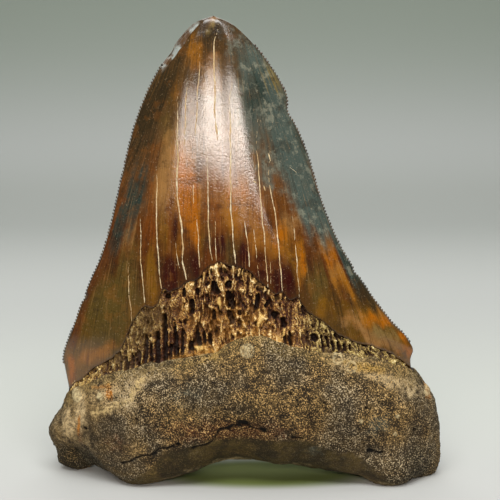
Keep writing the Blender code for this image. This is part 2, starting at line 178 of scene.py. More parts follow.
def grains(points, size, seed):
    """Distance to the nearest of scattered centres, as a share of size, and that grain's own number."""
    places = points / size
    cell = np.floor(places).astype(np.int64)
    nearest = np.full(points.shape[:-1], 9.0)
    number = np.zeros(points.shape[:-1])
    for step in itertools.product((-1, 0, 1), repeat=3):
        there = cell + np.array(step)
        centre = there + np.stack([cell_random(there, seed + axis) for axis in range(3)], axis=-1)
        distance = np.linalg.norm(places - centre, axis=-1)
        closer = distance < nearest
        nearest = np.where(closer, distance, nearest)
        number = np.where(closer, cell_random(there, seed + 3), number)
    return nearest, number


# %% [markdown]
# ## The form: two sheets that meet at the cutting edges
# A shark's tooth is a blade: flat on the lip side, fuller on the tongue side, sharp at both edges. It could
# be sculpted, but a loft is exact. Each row crosses the tooth from the left end (u = -1) to the right end
# (u = +1), and rows follow each other from the tip down the crown, the neck band and the root.

# %% Columns, sections and the plane between the two sheets
OUT = {"tongue": -1, "lip": 1}
DEPTH_COLUMN = {"tongue": 0, "lip": 1}
MARGIN = {"tongue": TONGUE_MARGIN, "lip": LIP_MARGIN}
ROOT_TOP = {"tongue": TONGUE_ROOT_TOP, "lip": LIP_ROOT_TOP}


def columns_at(count, crowding):
    """Where columns stand, from -1 to +1. They crowd towards the ends, where the surface turns."""
    even = np.linspace(-1, 1, count + 1)
    crowding = np.asarray(crowding, float)[..., None]
    return (1 - crowding) * even + crowding * np.sin(even * math.pi / 2)


def lens(u):
    """The crown's section: sharp at both cutting edges, and full in the middle."""
    return (1 - np.abs(np.clip(u, -1, 1)) ** 2.1) ** 0.82


def rounded(u):
    """The root's section: a rounded oblong. Powers of 2 would make it an ellipse, and higher ones a box."""
    return (1 - np.clip(np.abs(u), 0, 1) ** 2.3) ** (1 / 2.3)


def edge_plane(u, height):
    """Y of the plane that the two sheets meet in. It leans back at the tip and bends at the lobes."""
    lean = TIP_LEAN * soft_step(25, 120, height) ** 1.2
    bend = np.where(u < 0, LEFT_LOBE_BEND, RIGHT_LOBE_BEND) * np.abs(u) ** 2.5
    return lean + bend * (1 - soft_step(15, 45, height))


# %% Lines that wander, and lines without their notches
MARGIN_WANDER = 0.45
ROOT_TOP_WANDER = 0.35


def ragged(line, x, size, seed):
    """A small wander of a line at x, gone at the line's two ends."""
    places = np.stack([x, np.zeros_like(x), np.zeros_like(x)], axis=-1)
    held = soft_step(0, 4, x - line[0][0]) * soft_step(0, 4, line[-1][0] - x)
    return held * (lumps(places, size, seed) + 0.5 * lumps(places, size / 2.7, seed + 1))


def margin_height(side, x):
    """The enamel's lower edge. It wanders by up to about half a millimetre."""
    line = PEAKED_MARGIN if side == "tongue" else LIP_MARGIN
    return height_of(line, x) + MARGIN_WANDER * ragged(line, x, 2.2, 11)


def root_top_height(side, x):
    """The ragged top of the root's own face."""
    return height_of(ROOT_TOP[side], x) + ROOT_TOP_WANDER * ragged(ROOT_TOP[side], x, 3.4, 17)


def calm(line, shares):
    """The same line without its small notches."""
    return np.column_stack([np.polyval(np.polyfit(shares, line[:, axis], 5), shares) for axis in (0, 1)])


def end_to_end(line, across, axis=0):
    """Evenly from a line's first point to its last, along one axis."""
    first, last = line[0][axis], line[-1][axis]
    return first + across * (last - first)


# %% Rows of the crown, the neck band and the root
def crown_rows(shares, u, side):
    """Rows of the crown, from the tip (share 0) to the enamel's lower edge (share 1)."""
    across = (u + 1) / 2
    left, right = along(LEFT_EDGE, shares), along(RIGHT_EDGE, shares)
    calm_left, calm_right = calm(left, shares), calm(right, shares)
    # The face stays smooth: a notch in an edge fades out within a few millimetres
    sharp = np.maximum(soft_step(0.14, 0.03, shares), soft_step(0.88, 1.0, shares))[:, None]
    near_left, near_right = np.maximum(sharp, (1 - across) ** 8), np.maximum(sharp, across ** 8)
    x, level = (calm_left[:, axis, None] + across * (calm_right - calm_left)[:, axis, None]
                + (1 - across) * near_left * (left - calm_left)[:, axis, None]
                + across * near_right * (right - calm_right)[:, axis, None] for axis in (0, 1))
    base_x = end_to_end(MARGIN[side], across)
    smooth = height_of(MARGIN[side], base_x)
    z = level + shares[:, None] ** 1.15 * (smooth - end_to_end(MARGIN[side], across, axis=1))
    z = z + shares[:, None] ** 14 * (margin_height(side, base_x) - smooth)
    depth = curve_through(CROWN_DEPTHS, shares)[:, DEPTH_COLUMN[side], None]
    return np.stack([x, edge_plane(u, z) + OUT[side] * depth * lens(u), z], axis=-1)


def band_rows(shares, u, side, tuck):
    """Rows of the neck band. The first and last are tucked under the enamel and under the root's ledge."""
    across = (u + 1) / 2
    share = shares[:, None]
    x_high, x_low = end_to_end(MARGIN[side], across), end_to_end(ROOT_TOP[side], across)
    tuck = tuck * soft_step(1.0, 0.96, np.abs(u))
    z_high = margin_height(side, x_high) + tuck
    z_low = root_top_height(side, x_low) - tuck
    column = DEPTH_COLUMN[side] + 1
    crown_depth, root_depth = CROWN_DEPTHS[-1][column], ROOT_DEPTHS[0][column]
    section = (1 - 0.5 * share) * lens(u) + 0.5 * share * rounded(u)
    step = ENAMEL_STEP + BAND_HOLLOW * np.sin(math.pi * share) + (ROOT_LEDGE - ENAMEL_STEP) * share
    depth = (crown_depth + share * (root_depth - crown_depth)) * section
    depth = np.maximum(depth - step * soft_step(0.0, 0.06, 1 - np.abs(u)), 0)
    x = x_high + share * (x_low - x_high)
    z = z_high + share * (z_low - z_high)
    return np.stack([x, edge_plane(u, z) + OUT[side] * depth, z], axis=-1)


def root_rows(shares, u, side):
    """Rows of the root, from its ledge down its face and round to the line where the sides meet below."""
    across = (u + 1) / 2
    share = shares[:, None]
    fall = np.sin(share * math.pi / 2)
    x_high, x_low = end_to_end(ROOT_TOP[side], across), end_to_end(UNDERSIDE, across)
    x = x_high + fall * (x_low - x_high)
    z = (1 - fall) * root_top_height(side, x_high) + fall * height_of(UNDERSIDE, x_low)
    ends = [(0, ROOT_LEFT_END, (1 - across) ** 4), (-1, ROOT_RIGHT_END, across ** 4)]
    bulges = [(weight, along(outline, fall[:, 0]) - np.column_stack([x[:, end], z[:, end]]))
              for end, outline, weight in ends]
    for weight, bulge in bulges:
        x = x + weight * bulge[:, :1]
        z = z + weight * bulge[:, 1:]
    depth = curve_through(ROOT_DEPTHS, fall[:, 0])[:, DEPTH_COLUMN[side], None]
    blend = soft_step(0.0, 0.35, share)
    section = 0.5 * (1 - blend) * lens(u) + (0.5 + 0.5 * blend) * rounded(u)
    clearance = np.clip((z - height_of(UNDERSIDE, x_low)) / UNDERSIDE_RADIUS, 0, 1)
    turn = (1 - (1 - clearance) ** 2.6) ** (1 / 2.6)
    return np.stack([x, edge_plane(u, z) + OUT[side] * depth * section * turn, z], axis=-1)


# %% Rings and their outward direction
def ring_of(tongue, lip):
    """Joins rows that cross the tongue side with the lip side's, back from right to left."""
    return np.concatenate([tongue, lip[:, -2:0:-1]], axis=1)


def outward(rings):
    """Unit vectors that point out of the surface at each point of the rings."""
    down = np.gradient(rings, axis=0)
    around = np.roll(rings, -1, axis=1) - np.roll(rings, 1, axis=1)
    normal = np.cross(down, around)
    return normal / np.maximum(np.linalg.norm(normal, axis=-1, keepdims=True), 1e-9)


def relief(points):
    """How far lumps and dents move the surface out, in millimetres."""
    total = np.zeros(points.shape[:-1])
    for x, y, z, reach, height in RELIEF:
        near = np.clip(1 - np.linalg.norm(points - np.array([x, y, z]), axis=-1) / reach, 0, 1)
        total += height * near * near * (3 - 2 * near)
    return total


def edge_rows(row, u, steps, side):
    """Rows that turn a sheet's border inwards, one for each (inset, lift) in millimetres."""
    made = []
    for inset, lift in steps:
        middle = edge_plane(u, row[:, 2])
        depth = np.maximum(np.abs(row[:, 1] - middle) - inset, 0.1 * np.abs(row[:, 1] - middle))
        x = row[:, 0] - np.sign(u) * inset * np.abs(u) ** 12
        made.append(np.stack([x, middle + OUT[side] * depth, row[:, 2] + lift], axis=-1))
    return np.array(made)


def wrap_round(counts, sheet_of):
    """Rings of one skin and each point's u, from the rows and u that sheet_of makes for each side."""
    (tongue, tongue_u), (lip, lip_u) = (sheet_of(count, side) for side, count in zip(OUT, counts))
    return ring_of(tongue, lip), ring_of(tongue_u, lip_u)


def facing(rings, u, reach):
    """1 on the tongue side, 0 on the lip side. It changes within reach of the plane between them."""
    return soft_step(reach, -reach, rings[..., 1] - edge_plane(u, rings[..., 2]))


def on_own_side(front, height, x):
    """Height at x of a line that both sides have, read on the side that each point is on."""
    return np.where(front > 0.5, height("tongue", x), height("lip", x))


# %% A closed mesh from rings
def closing(tongue, lip, upward):
    """Triangles that close a ring, zipped between the points of its two sides."""
    i = j = 0
    faces = []
    while i < len(tongue) - 1 or j < len(lip) - 1:
        ahead = (i + 1) * (len(lip) - 1) <= (j + 1) * (len(tongue) - 1)
        if i < len(tongue) - 1 and (ahead or j == len(lip) - 1):
            face = (tongue[i], lip[j], tongue[i + 1])
            i += 1
        else:
            face = (tongue[i], lip[j], lip[j + 1])
            j += 1
        if len(set(face)) == 3:
            faces.append(face[::-1] if upward else face)
    return faces


def skin(name, rings, tongue_columns):
    """A closed mesh object from rings in millimetres, with its first and last ring closed."""
    rows, count = rings.shape[:2]
    index = np.arange(rows * count).reshape(rows, count)
    beside = np.roll(index, -1, axis=1)
    faces = np.stack([index[:-1], index[1:], beside[1:], beside[:-1]], axis=-1).reshape(-1, 4).tolist()
    for ring, upward in ((index[0], True), (index[-1], False)):
        tongue = ring[:tongue_columns + 1].tolist()
        lip = [tongue[0], *ring[:tongue_columns:-1].tolist(), tongue[-1]]
        faces += closing(tongue, lip, upward)
    places = (rings.reshape(-1, 3) + (0, SETBACK, 0)) * MM
    mesh = bpy.data.meshes.new(name)
    mesh.from_pydata(places.tolist(), [], faces)
    mesh.shade_smooth()
    made = bpy.data.objects.new(name, mesh)
    bpy.context.scene.collection.objects.link(made)
    return made


# %% Values for the materials, and a count of what was made
def keep(piece, name, values, kind="FLOAT"):
    """Stores one value for each point of a mesh, for its material to read."""
    attribute = piece.data.attributes.new(name, kind, "POINT")
    field = "value" if kind == "FLOAT" else "vector"
    attribute.data.foreach_set(field, np.asarray(values, np.float32).ravel())


def report(piece):
    """Prints a piece's triangles and its edges that don't join exactly two faces."""
    mesh = piece.data
    sides = np.zeros(len(mesh.edges), int)
    loops = np.zeros(len(mesh.loops), int)
    mesh.loops.foreach_get("edge_index", loops)
    np.add.at(sides, loops, 1)
    mesh.calc_loop_triangles()
    print(f"{piece.name}: {len(mesh.loop_triangles)} triangles, {int((sides != 2).sum())} open edges")


# %% [markdown]
# ## Stains
# Minerals from the sea bed soaked into the enamel: iron made it amber and red, manganese made it slate. An
# artist could paint an image, but a few soft blobs, each with a place and a size on the tooth, stay sharp
# at any distance and can be moved by changing a number. A blob only says how strongly a stain is there.
# The material decides its colour and breaks up its border.

# %% Soft blobs on the surface
def blob(points, x, z, half_width, half_height, lean, strength):
    """Strength at the blob's middle, 0 past its border. lean is how far its top leans right, in degrees."""
    turn = math.radians(lean)
    dx, dz = points[..., 0] - x, points[..., 2] - z
    across = (dx * math.cos(turn) - dz * math.sin(turn)) / half_width
    upward = (dx * math.sin(turn) + dz * math.cos(turn)) / half_height
    return strength * soft_step(1.6, 0.1, np.hypot(across, upward))


def stained(points, blobs):
    """Several blobs of one stain, laid over each other."""
    clean = np.ones(points.shape[:-1])
    for each in blobs:
        clean = clean * (1 - blob(points, *each))
    return 1 - clean


def distance_to(line, points):
    """Distance in the front view from each point to a line of (x, z) points."""
    nearest = np.full(points.shape[:-1], 1e3)
    for (x0, z0), (x1, z1) in zip(line, line[1:]):
        run = np.array([x1 - x0, z1 - z0])
        offset = np.stack([points[..., 0] - x0, points[..., 2] - z0], axis=-1)
        t = np.clip(offset @ run / (run @ run), 0, 1)
        nearest = np.minimum(nearest, np.linalg.norm(offset - t[..., None] * run, axis=-1))
    return nearest


# %% [markdown]
# ## The crown
# The enamel is a smooth, closed blade with a thin rolled lower edge that stands half a millimetre proud of
# the neck band. Its surface has faint flutes from the tip to the base, and a strip of it has flaked off
# along the upper left edge. All of this is in the mesh, because a bump map doesn't change an outline.

# %% Points of the crown
CROWN_COLUMNS = (300, 150)
CROWN_ROWS = 196
CROWN_CROWDING = 0.35
# The rolled lower edge, as (inset, lift)
ENAMEL_EDGE_STEPS = [(0.1, -0.14), (0.34, -0.2), (0.62, -0.08), (0.95, 0.35)]
crown_shares = ((np.arange(CROWN_ROWS) + 0.4) / (CROWN_ROWS - 0.6)) ** 1.4


def crown_sheet(count, side):
    u = columns_at(count, CROWN_CROWDING)
    rows = crown_rows(crown_shares, u, side)
    rows = np.concatenate([rows, edge_rows(rows[-1], u, ENAMEL_EDGE_STEPS, side)])
    return rows, np.repeat(u[None], len(rows), axis=0)


rings, crown_u = wrap_round(CROWN_COLUMNS, crown_sheet)
crown_share = np.concatenate([crown_shares, np.ones(len(ENAMEL_EDGE_STEPS))])
front = facing(rings, crown_u, 0.6)
crown_width = (along(RIGHT_EDGE, crown_share) - along(LEFT_EDGE, crown_share))[:, :1]
from_left = (crown_u + 1) / 2 * crown_width
from_right = (1 - crown_u) / 2 * crown_width
print("crown rings:", rings.shape[:2])

# %% Flutes, dimples and the flaked strip
CHIP_WIDTH = 2.5
CHIP_DEPTH = 0.5

# Growth lines run straight down in the blade's middle and turn to follow its two edges. across is 0 in the
# middle and 1 at an edge, and the patterns on the lines are 24 times as long as they are wide.
from_tip = LEFT_EDGE[0][1] - rings[..., 2]
across = (rings[..., 0] + 7.0 - 0.04 * from_tip) / (7.5 + 0.43 * from_tip)
growth_across = rings[..., 0] + np.abs(across) ** 3 * (across * 45 - rings[..., 0])
growth = np.stack([growth_across, rings[..., 2] / 24, rings[..., 1] / 9], axis=-1)
flutes = 0.012 * lumps(growth, 2.4, 21) + 0.004 * lumps(growth, 0.9, 22)
dimples = 0.008 * lumps(rings, 6.0, 23)
chip_border = CHIP_WIDTH * (1 + 0.25 * lumps(rings, 2.5, 24))
chip = soft_step(0.2, -0.2, from_left - chip_border) * front
chip = chip * soft_step(105.0, 108.0, rings[..., 2]) * soft_step(118.6, 117.6, rings[..., 2])
scallops = 0.12 * np.abs(lumps(rings, 1.3, 25))
held = soft_step(0.0, 0.5, np.minimum(from_left, from_right))
crown_height = relief(rings) + held * (flutes + dimples) - chip * (CHIP_DEPTH * held + scallops)
crown_points = rings + outward(rings) * crown_height[..., None]
crown = skin("crown_enamel", crown_points, CROWN_COLUMNS[0])
report(crown)

# %% Where each stain lies on the crown, as (x, z, half width, half height, lean, strength)
TONGUE_STAINS = {
    "umber_and_shade": [(-7.6, 115.6, 3.6, 4.2, 0, 0.8), (-25, 93, 4.5, 13, 14, 0.9), (-19.5, 102, 2.2, 8, 24, 1),
              (-30, 80, 2.5, 9, 13, 0.5), (27, 47.5, 2.2, 4, -30, 0.6), (33.5, 41, 4, 1.8, 30, 0.4),
              (-8.5, 64, 1.6, 5, 0, 0.6), (38.2, 40.6, 1.2, 6, -42, 0.6), (31.2, 50.4, 2.3, 9, -36, 0.9),
              (32.8, 41.4, 2.4, 2, 0, 0.6), (-12, 57.5, 2.2, 4, 0, 0.6)],
    "olive": [(-34, 46, 8, 13, 24, 1), (-29, 60, 3, 8, 12, 0.6), (19, 51.5, 3.6, 7, -18, 0.8),
              (-19, 90, 2.5, 9, 6, 0.6), (-2, 62, 3, 6, 0, 0.7), (36, 38.5, 4, 2.4, 40, 0.5)],
    "tan": [(-18, 85, 3.4, 9, 6, 0.7), (-20.5, 75, 3, 7, 4, 0.7), (10.5, 66.5, 5, 4, -30, 0.7),
            (24.4, 53, 1.3, 3.4, -28, 0.9), (30, 44.6, 1.3, 2.8, -42, 0.9), (33.5, 38.6, 2.2, 9, -61, 1),
            (-28.5, 66.5, 2, 6, 10, 0.5), (-8, 104, 3.5, 6, 0, 0.5)],
    "rust": [(-34.5, 60, 2.4, 9, 17, 0.7), (-39.5, 50, 2.6, 8, 22, 0.8), (-43.5, 39, 2.2, 6, 22, 0.8),
             (-23, 84, 2.6, 7, 10, 0.5), (-4, 83, 5, 5, 0, 0.5)],
    "gold": [(-7.6, 117.2, 2.2, 2.2, 0, 0.5), (-23.2, 54, 2.2, 9, -2, 0.9), (20.3, 46, 2.1, 3.4, 0, 0.9),
             (-20, 66, 2, 7, 0, 0.6), (12.2, 56, 1.5, 7, -6, 0.7), (-9.8, 66, 1.4, 6, 0, 0.6),
             (7.6, 104, 1.1, 5.5, -28, 0.7), (27.5, 50, 1, 6, -30, 0.5)],
    "amber": [(-11.6, 110, 2.4, 5, 16, 0.6), (-16.5, 99, 2.6, 6, 14, 0.3), (-13.5, 77, 5, 11, 0, 0.9),
              (-2, 72.5, 5, 7, 0, 0.9), (8.5, 63, 4.5, 5.5, -10, 0.9), (14.5, 57.5, 2, 6, -8, 0.8),
              (20.8, 60.5, 1.6, 5.5, -22, 0.7), (25.6, 51, 1.9, 5.5, -32, 0.9),
              (31.5, 43.6, 1.8, 4, -45, 0.9), (-39, 33, 1.8, 8, 48, 0.8), (36.5, 41.6, 1.5, 5, -52, 0.7),
              (-16.5, 60, 1.6, 8, 0, 0.6), (3, 65, 2.2, 7, 0, 0.6)],
    "orange": [(-13.4, 76.5, 3, 7.5, -2, 1), (-12.6, 68.5, 2.4, 6, -2, 0.8), (-1, 74.5, 3.2, 4, 0, 0.5),
               (8.6, 65, 2.6, 3.6, 0, 0.8), (-45.2, 31.4, 1.8, 1.9, 0, 0.9), (-44.8, 27, 1.6, 4, 0, 0.9),
               (42.4, 33.5, 1.6, 3.4, -20, 0.9), (40.8, 38.2, 1.3, 1.8, -40, 1),
               (22.6, 57, 1, 3.5, -28, 0.6), (15.2, 57, 0.9, 4, -8, 0.8), (33.6, 43, 1, 2.6, -50, 0.7),
               (37, 40.4, 1.2, 1.8, -50, 0.8)],
    "garnet": [(-18, 55, 2.8, 6, 0, 1), (8.2, 56, 2, 7, -5, 1), (-5.6, 62, 2, 4.2, 0, 1),
               (11.8, 53, 1.8, 5, -8, 1), (-16.8, 66.5, 1.2, 5, 0, 0.8), (0, 60.5, 2.2, 4.4, 0, 0.9),
               (-12.4, 59, 1.8, 5, 0, 0.8), (4.4, 57.5, 1.2, 5, -2, 0.8)],
    "slate": [(5, 103.5, 5.5, 13.5, -25, 1), (11.5, 87, 6.6, 16, -19, 1), (18.6, 70.5, 4.6, 12.5, -27, 1),
              (1.2, 93, 3.4, 9, -8, 0.6), (26.5, 58.5, 1.8, 8, -34, 0.8), (4.6, 79.5, 3, 5, 0, 0.5)],
    "ochre": [(7.4, 105, 1.5, 4.8, -27, 0.8), (-7.9, 116.4, 1.6, 1.6, 0, 0.6),
              (36, 38.5, 2, 6, -58, 0.6)],
    "teal": [(-26.8, 76, 3.4, 8.5, 14, 0.8), (-31.4, 66, 2, 7, 16, 0.8), (3.4, 100.5, 4, 6.5, -12, 0.8),
             (14.5, 89.5, 2.2, 6, -16, 0.6), (23, 63.5, 1.8, 5, -30, 0.5), (27.4, 57, 1.8, 7, -34, 0.9)],
}
LIP_STAINS = {
    "umber_and_shade": [(-24, 92, 4, 12, 14, 0.8), (30, 50, 3, 8, -30, 0.7), (0, 46, 8, 3, 0, 0.6)],
    "olive": [(-34, 47, 7, 11, 22, 1), (27, 50, 6, 8, -22, 0.8), (-9, 96, 4, 12, 3, 0.6)],
    "tan": [(-21, 74, 4, 10, 9, 0.7), (12, 64, 4, 8, -12, 0.6), (-3, 108, 4, 6, 0, 0.5)],
    "rust": [(-40, 42, 3, 8, 24, 0.8), (37, 40, 3, 7, -36, 0.8), (-6, 80, 4, 9, 0, 0.5)],
    "gold": [(-14, 52, 2, 9, 3, 0.8), (9, 52, 2, 9, -4, 0.8), (-2.5, 60, 1.6, 10, 0, 0.7)],
    "amber": [(-9, 66, 7, 12, 2, 0.9), (7, 60, 6, 11, -6, 0.9), (-26, 55, 4, 9, 14, 0.8)],
    "orange": [(-5, 60, 3, 8, 0, 0.9), (13, 55, 2.2, 7, -8, 0.7), (-20, 62, 2.4, 7, 6, 0.7)],
    "garnet": [(-16, 45, 5, 4, 0, 0.8), (3, 48, 4, 4, 0, 0.9), (19, 46, 4, 4, 0, 0.8)],
    "slate": [(-1, 101, 6, 13, -6, 1), (10, 80, 6.5, 16, -16, 1), (21, 64, 4.5, 10, -26, 0.9),
              (-16, 86, 4.5, 10, 8, 0.7)],
    "ochre": [(-16, 104, 1.4, 6, 24, 0.7)],
    "teal": [(17, 84, 2.6, 9, -18, 0.9), (-30, 70, 2.6, 9, 16, 0.9), (-12, 104, 3, 7, 14, 0.6)],
}

# Stains wander by a millimetre or two, along the growth lines
wander = np.stack([1.3 * lumps(growth, 3.1, 31), 0 * front, 3.0 * lumps(growth, 2.2, 32)], axis=-1)
for stain in TONGUE_STAINS:
    tongue_part = stained(rings + wander, TONGUE_STAINS[stain])
    lip_part = stained(rings + wander, LIP_STAINS[stain])
    keep(crown, stain, front * tongue_part + (1 - front) * lip_part)
keep(crown, "growth", growth, "FLOAT_VECTOR")
keep(crown, "chip", chip)
# A strip within 0.75 mm above the enamel's lower edge, which the material darkens: painted shade of the step
# there
above_edge = rings[..., 2] - on_own_side(front, margin_height, rings[..., 0])
keep(crown, "rim", soft_step(0.75, 0.1, above_edge))
print("stains on the crown:", ", ".join(TONGUE_STAINS))

# %% [markdown]
# ## The neck band
# Between enamel and root lies a strip of spongy dentine. Upright fibres of cream mineral stand between
# dark slots and pores. It could be made of thousands of small tubes, but here it is one dense skin: a
# height is added up from fibres, pores and slots, and the same height later drives the colour, so that
# every pit is dark and every crest is pale. That dark is partly the dentine's own colour and partly
# painted shade, and that pale is partly its own colour and partly painted highlight.

# %% Points of the neck band
BAND_COLUMNS = (740, 180)
BAND_ROWS = 104
BAND_TUCK = 0.55
BAND_CROWDING = 0.35
band_shares = np.linspace(0, 1, BAND_ROWS)


def band_sheet(count, side):
    u = columns_at(count, BAND_CROWDING * band_shares)
    return band_rows(band_shares, u, side, BAND_TUCK), u


rings, band_u = wrap_round(BAND_COLUMNS, band_sheet)
band_x, band_z = rings[..., 0], rings[..., 2]
front = facing(rings, band_u, 0.3)
below_margin = on_own_side(front, margin_height, band_x) - band_z
above_root = band_z - on_own_side(front, root_top_height, band_x)
print("neck band rings:", rings.shape[:2])

# %% Slots, holes and knobs
# (x, z, width, height, turn in degrees)
SLOTS = [(-32.4, 30.9, 0.9, 1.6, 0), (-31.2, 31.4, 0.9, 1.9, 0), (-29.7, 32.3, 1.2, 3.1, 0),
         (-28.1, 33, 0.8, 3.6, 0), (-26.5, 33.8, 1.2, 4.4, 0), (-24.7, 35.7, 1.1, 6.6, 5),
         (-23.3, 35, 0.8, 5.2, 0), (-21.6, 36.9, 1.3, 7.9, 0), (-19.7, 39.2, 1.3, 12.4, 0),
         (-18.3, 36, 0.8, 4.1, 0), (-17, 38.8, 1.1, 8.6, -3), (-15.3, 38.3, 0.8, 7, 0),
         (-13, 37.7, 1.1, 2.2, 0), (-11.1, 39.2, 1.2, 4.9, -10), (-9.7, 39.8, 0.8, 3.9, -6),
         (-8.2, 39.5, 1, 3, -6), (10.7, 39.4, 0.8, 2.9, -8), (11.9, 39.8, 0.9, 2.9, -8),
         (18.2, 39.6, 1.3, 2, -30), (20.1, 38.4, 0.7, 2.7, -12), (21.5, 38.2, 0.8, 3, -12),
         (22.9, 37.2, 0.8, 2.3, -12), (24.4, 37, 0.8, 2, -12), (25.9, 36.7, 0.8, 1.7, -12),
         (27.4, 36.4, 0.8, 1.5, -12)]
HOLES = [(-7, 52.4, 1.8, 3.3, -15), (-3.6, 53.2, 1.4, 2, 0), (-3.1, 49.4, 1.9, 4.4, -14),
         (-3, 45, 1.4, 3.3, -10), (3.6, 48.6, 1.2, 4.3, 8), (-12.8, 47.7, 1.3, 3.5, 0),
         (-11.4, 51.2, 0.9, 1.8, 0), (-0.8, 46.2, 1, 1.2, 0), (-18.8, 49.9, 1.4, 1.1, 0),
         (-14.9, 51, 0.8, 2.1, 0), (6.2, 48.3, 0.9, 2.2, 40), (8.1, 45.4, 1.3, 1.6, -20),
         (10.5, 43.6, 1.2, 2.4, -10), (-7.4, 45.6, 0.9, 2.4, 0)]
# Smooth pale lumps in the sponge: (x, z, half width, half height, height)
KNOBS = [(4.2, 44.6, 0.7, 2.1, 0.5), (-5.6, 48.4, 0.5, 1.8, 0.35), (-10.9, 37.2, 1.2, 0.5, 0.3),
         (10.4, 41, 0.4, 1.2, 0.3)]
SLOT_DEPTH = 1.5
PORE_DEPTH = 0.85


def sunk(points, slots, ragged_by):
    """1 inside any of the upright slots, which have steep walls, and 0 outside them."""
    inside = np.zeros(points.shape[:-1])
    for x, z, width, height, turn in slots:
        angle = math.radians(turn)
        dx, dz = points[..., 0] - x, points[..., 2] - z
        across = np.abs(dx * math.cos(angle) - dz * math.sin(angle)) / (width / 2)
        upward = np.abs(dx * math.sin(angle) + dz * math.cos(angle)) / (height / 2)
        place = (across ** 2.4 + upward ** 3.5) ** (1 / 2.6)
        inside = np.maximum(inside, soft_step(1.25, 0.8, place + ragged_by))
    return inside


def domes(points, table, rim, front):
    """Where round lumps lie and how far they stand out, from (x, z, half width, half height, height)."""
    there = rise = np.zeros(points.shape[:-1])
    for x, z, half_width, half_height, height in table:
        place = np.hypot((points[..., 0] - x) / half_width, (points[..., 2] - z) / half_height)
        near = np.clip(1 - place ** 2, 0, 1) * front
        there = np.maximum(there, soft_step(0.0, rim, near))
        rise = rise + height * np.sqrt(near)
    return there, rise


deep = sunk(rings, SLOTS + HOLES, 0.34 * lumps(rings, 0.9, 45) + 0.2 * lumps(rings, 0.4, 40))
# The slots at the left end are shallower
deep = deep * front * (1 - 0.45 * soft_step(-22.0, -27.0, band_x))
print("slots and holes:", len(SLOTS + HOLES))

# %% Fibres, crags and pores
# The fibres lean right on the right of the band, and bend a little everywhere
lean = 0.5 * soft_step(4, 38, band_x) - 0.12 * soft_step(-22, -44, band_x)
swirl = np.stack([lumps(rings, 1.8, 46) + 0.5 * lumps(rings, 0.8, 47), 0 * band_z,
                  1.4 * lumps(rings, 1.6, 48)], axis=-1)
bent = rings + 0.5 * swirl
fibre_across = bent[..., 0] + lean * (bent[..., 2] - 38)
fibre_place = np.stack([fibre_across, bent[..., 2] / 5, rings[..., 1] / 7], axis=-1)
strands = 1 - 2.2 * np.abs(lumps(fibre_place, 0.66, 41))
threads = 1 - 2 * np.abs(lumps(fibre_place, 0.34, 42))
crags = 1 - 2 * np.abs(lumps(bent * (1, 1, 0.5), 1.15, 49))
beads = lumps(rings, 0.5, 43)
pore_place = np.stack([fibre_across, bent[..., 2] / 1.9, np.zeros_like(band_z)], axis=-1)
pore_distance, pore_number = grains(pore_place, 0.85, 44)
sponge = soft_step(15, 5, np.abs(band_x + 2)) * soft_step(39, 43, band_z)
pore_share = 0.22 + 0.3 * sponge
pores = soft_step(0.7, 0.2, pore_distance + 0.25 * beads)
pores = pores * soft_step(pore_share, pore_share - 0.12, pore_number)

# %% Height of the neck band
# A groove under the enamel and a crest below it, then fibres, crags and knobs, less pores and slots
knobs, knob_height = domes(bent, KNOBS, 0.5, front)
groove = soft_step(0.34, 0.06, np.abs(below_margin - 0.06))
crest_line = 0.6 * soft_step(0.9, 0.1, np.abs(below_margin - 1.3 + 0.5 * beads))
crest_line = crest_line * soft_step(-0.3, 0.3, crags) * soft_step(18, 8, np.abs(band_x + 3)) * front
rough = (0.4 + 0.12 * sponge) * (strands - 0.45) + 0.14 * threads + 0.12 * beads
rough = rough + (0.22 + 0.2 * sponge) * (crags - 0.45)
band_height = rough * (1 - 0.7 * knobs)
band_height = band_height - PORE_DEPTH * pores * (1 - knobs) - SLOT_DEPTH * deep * (1 - knobs)
band_height = band_height + 0.2 * crest_line + knob_height - 0.3 * groove
ends = soft_step(0.0, 1.2, np.minimum(band_x + 46.4, 44.6 - band_x))
band_points = rings + outward(rings) * (ends * band_height)[..., None]
band = skin("neck_band_sponge", band_points, BAND_COLUMNS[0])
report(band)

# %% What the neck band's material reads
# Heights that are fully pale and fully dark, and patches as (x, z, half width, half height, lean, strength)
HIGHEST_CREST = 0.55
DARKEST_PIT = 0.9
GOLD_PATCHES = [(-9, 36.9, 3.4, 1.6, 0, 1), (2, 43, 5, 5, 0, 0.6), (-5, 44, 5, 6, 0, 0.5),
                (-14, 44, 3, 5, 0, 0.4), (9, 39.5, 4, 2.2, 0, 0.5)]
OLIVE_PATCHES = [(-23, 44, 4.5, 6, 38, 1), (-33, 34, 5, 3, 40, 0.9), (-27, 38, 3, 3.5, 30, 0.6)]
RED_PATCHES = [(-4, 47, 6, 7, 0, 0.8), (-18, 43, 4, 6, 0, 0.5), (7, 46, 4, 5, 0, 0.6)]
# The stored level picks the band's colour: partly painted shade in the pits and painted highlight on the
# crests
level = np.where(band_height > 0, band_height / HIGHEST_CREST, band_height / DARKEST_PIT)
keep(band, "level", np.clip(0.5 + 0.5 * level, 0, 1))
for stain, patches in (("gold", GOLD_PATCHES), ("garnet", RED_PATCHES), ("olive", OLIVE_PATCHES)):
    keep(band, stain, stained(rings, patches) * front)
dull = np.maximum(0.55 * soft_step(-20, -27, band_x), soft_step(12, 20, band_x))
keep(band, "dull", dull * front + (1 - front))
keep(band, "knob", np.maximum(knobs, 0.4 * crest_line))
keep(band, "groove", groove)
keep(band, "slot", deep)
shelf = soft_step(1.6, 0.4, above_root + 0.5 * beads)
keep(band, "shelf", shelf * soft_step(9, 4, np.abs(band_x + 12)) * front)
keep(band, "growth", fibre_place, "FLOAT_VECTOR")
print("deepest pit of the neck band, mm:", round(float(-band_height.min()), 2))

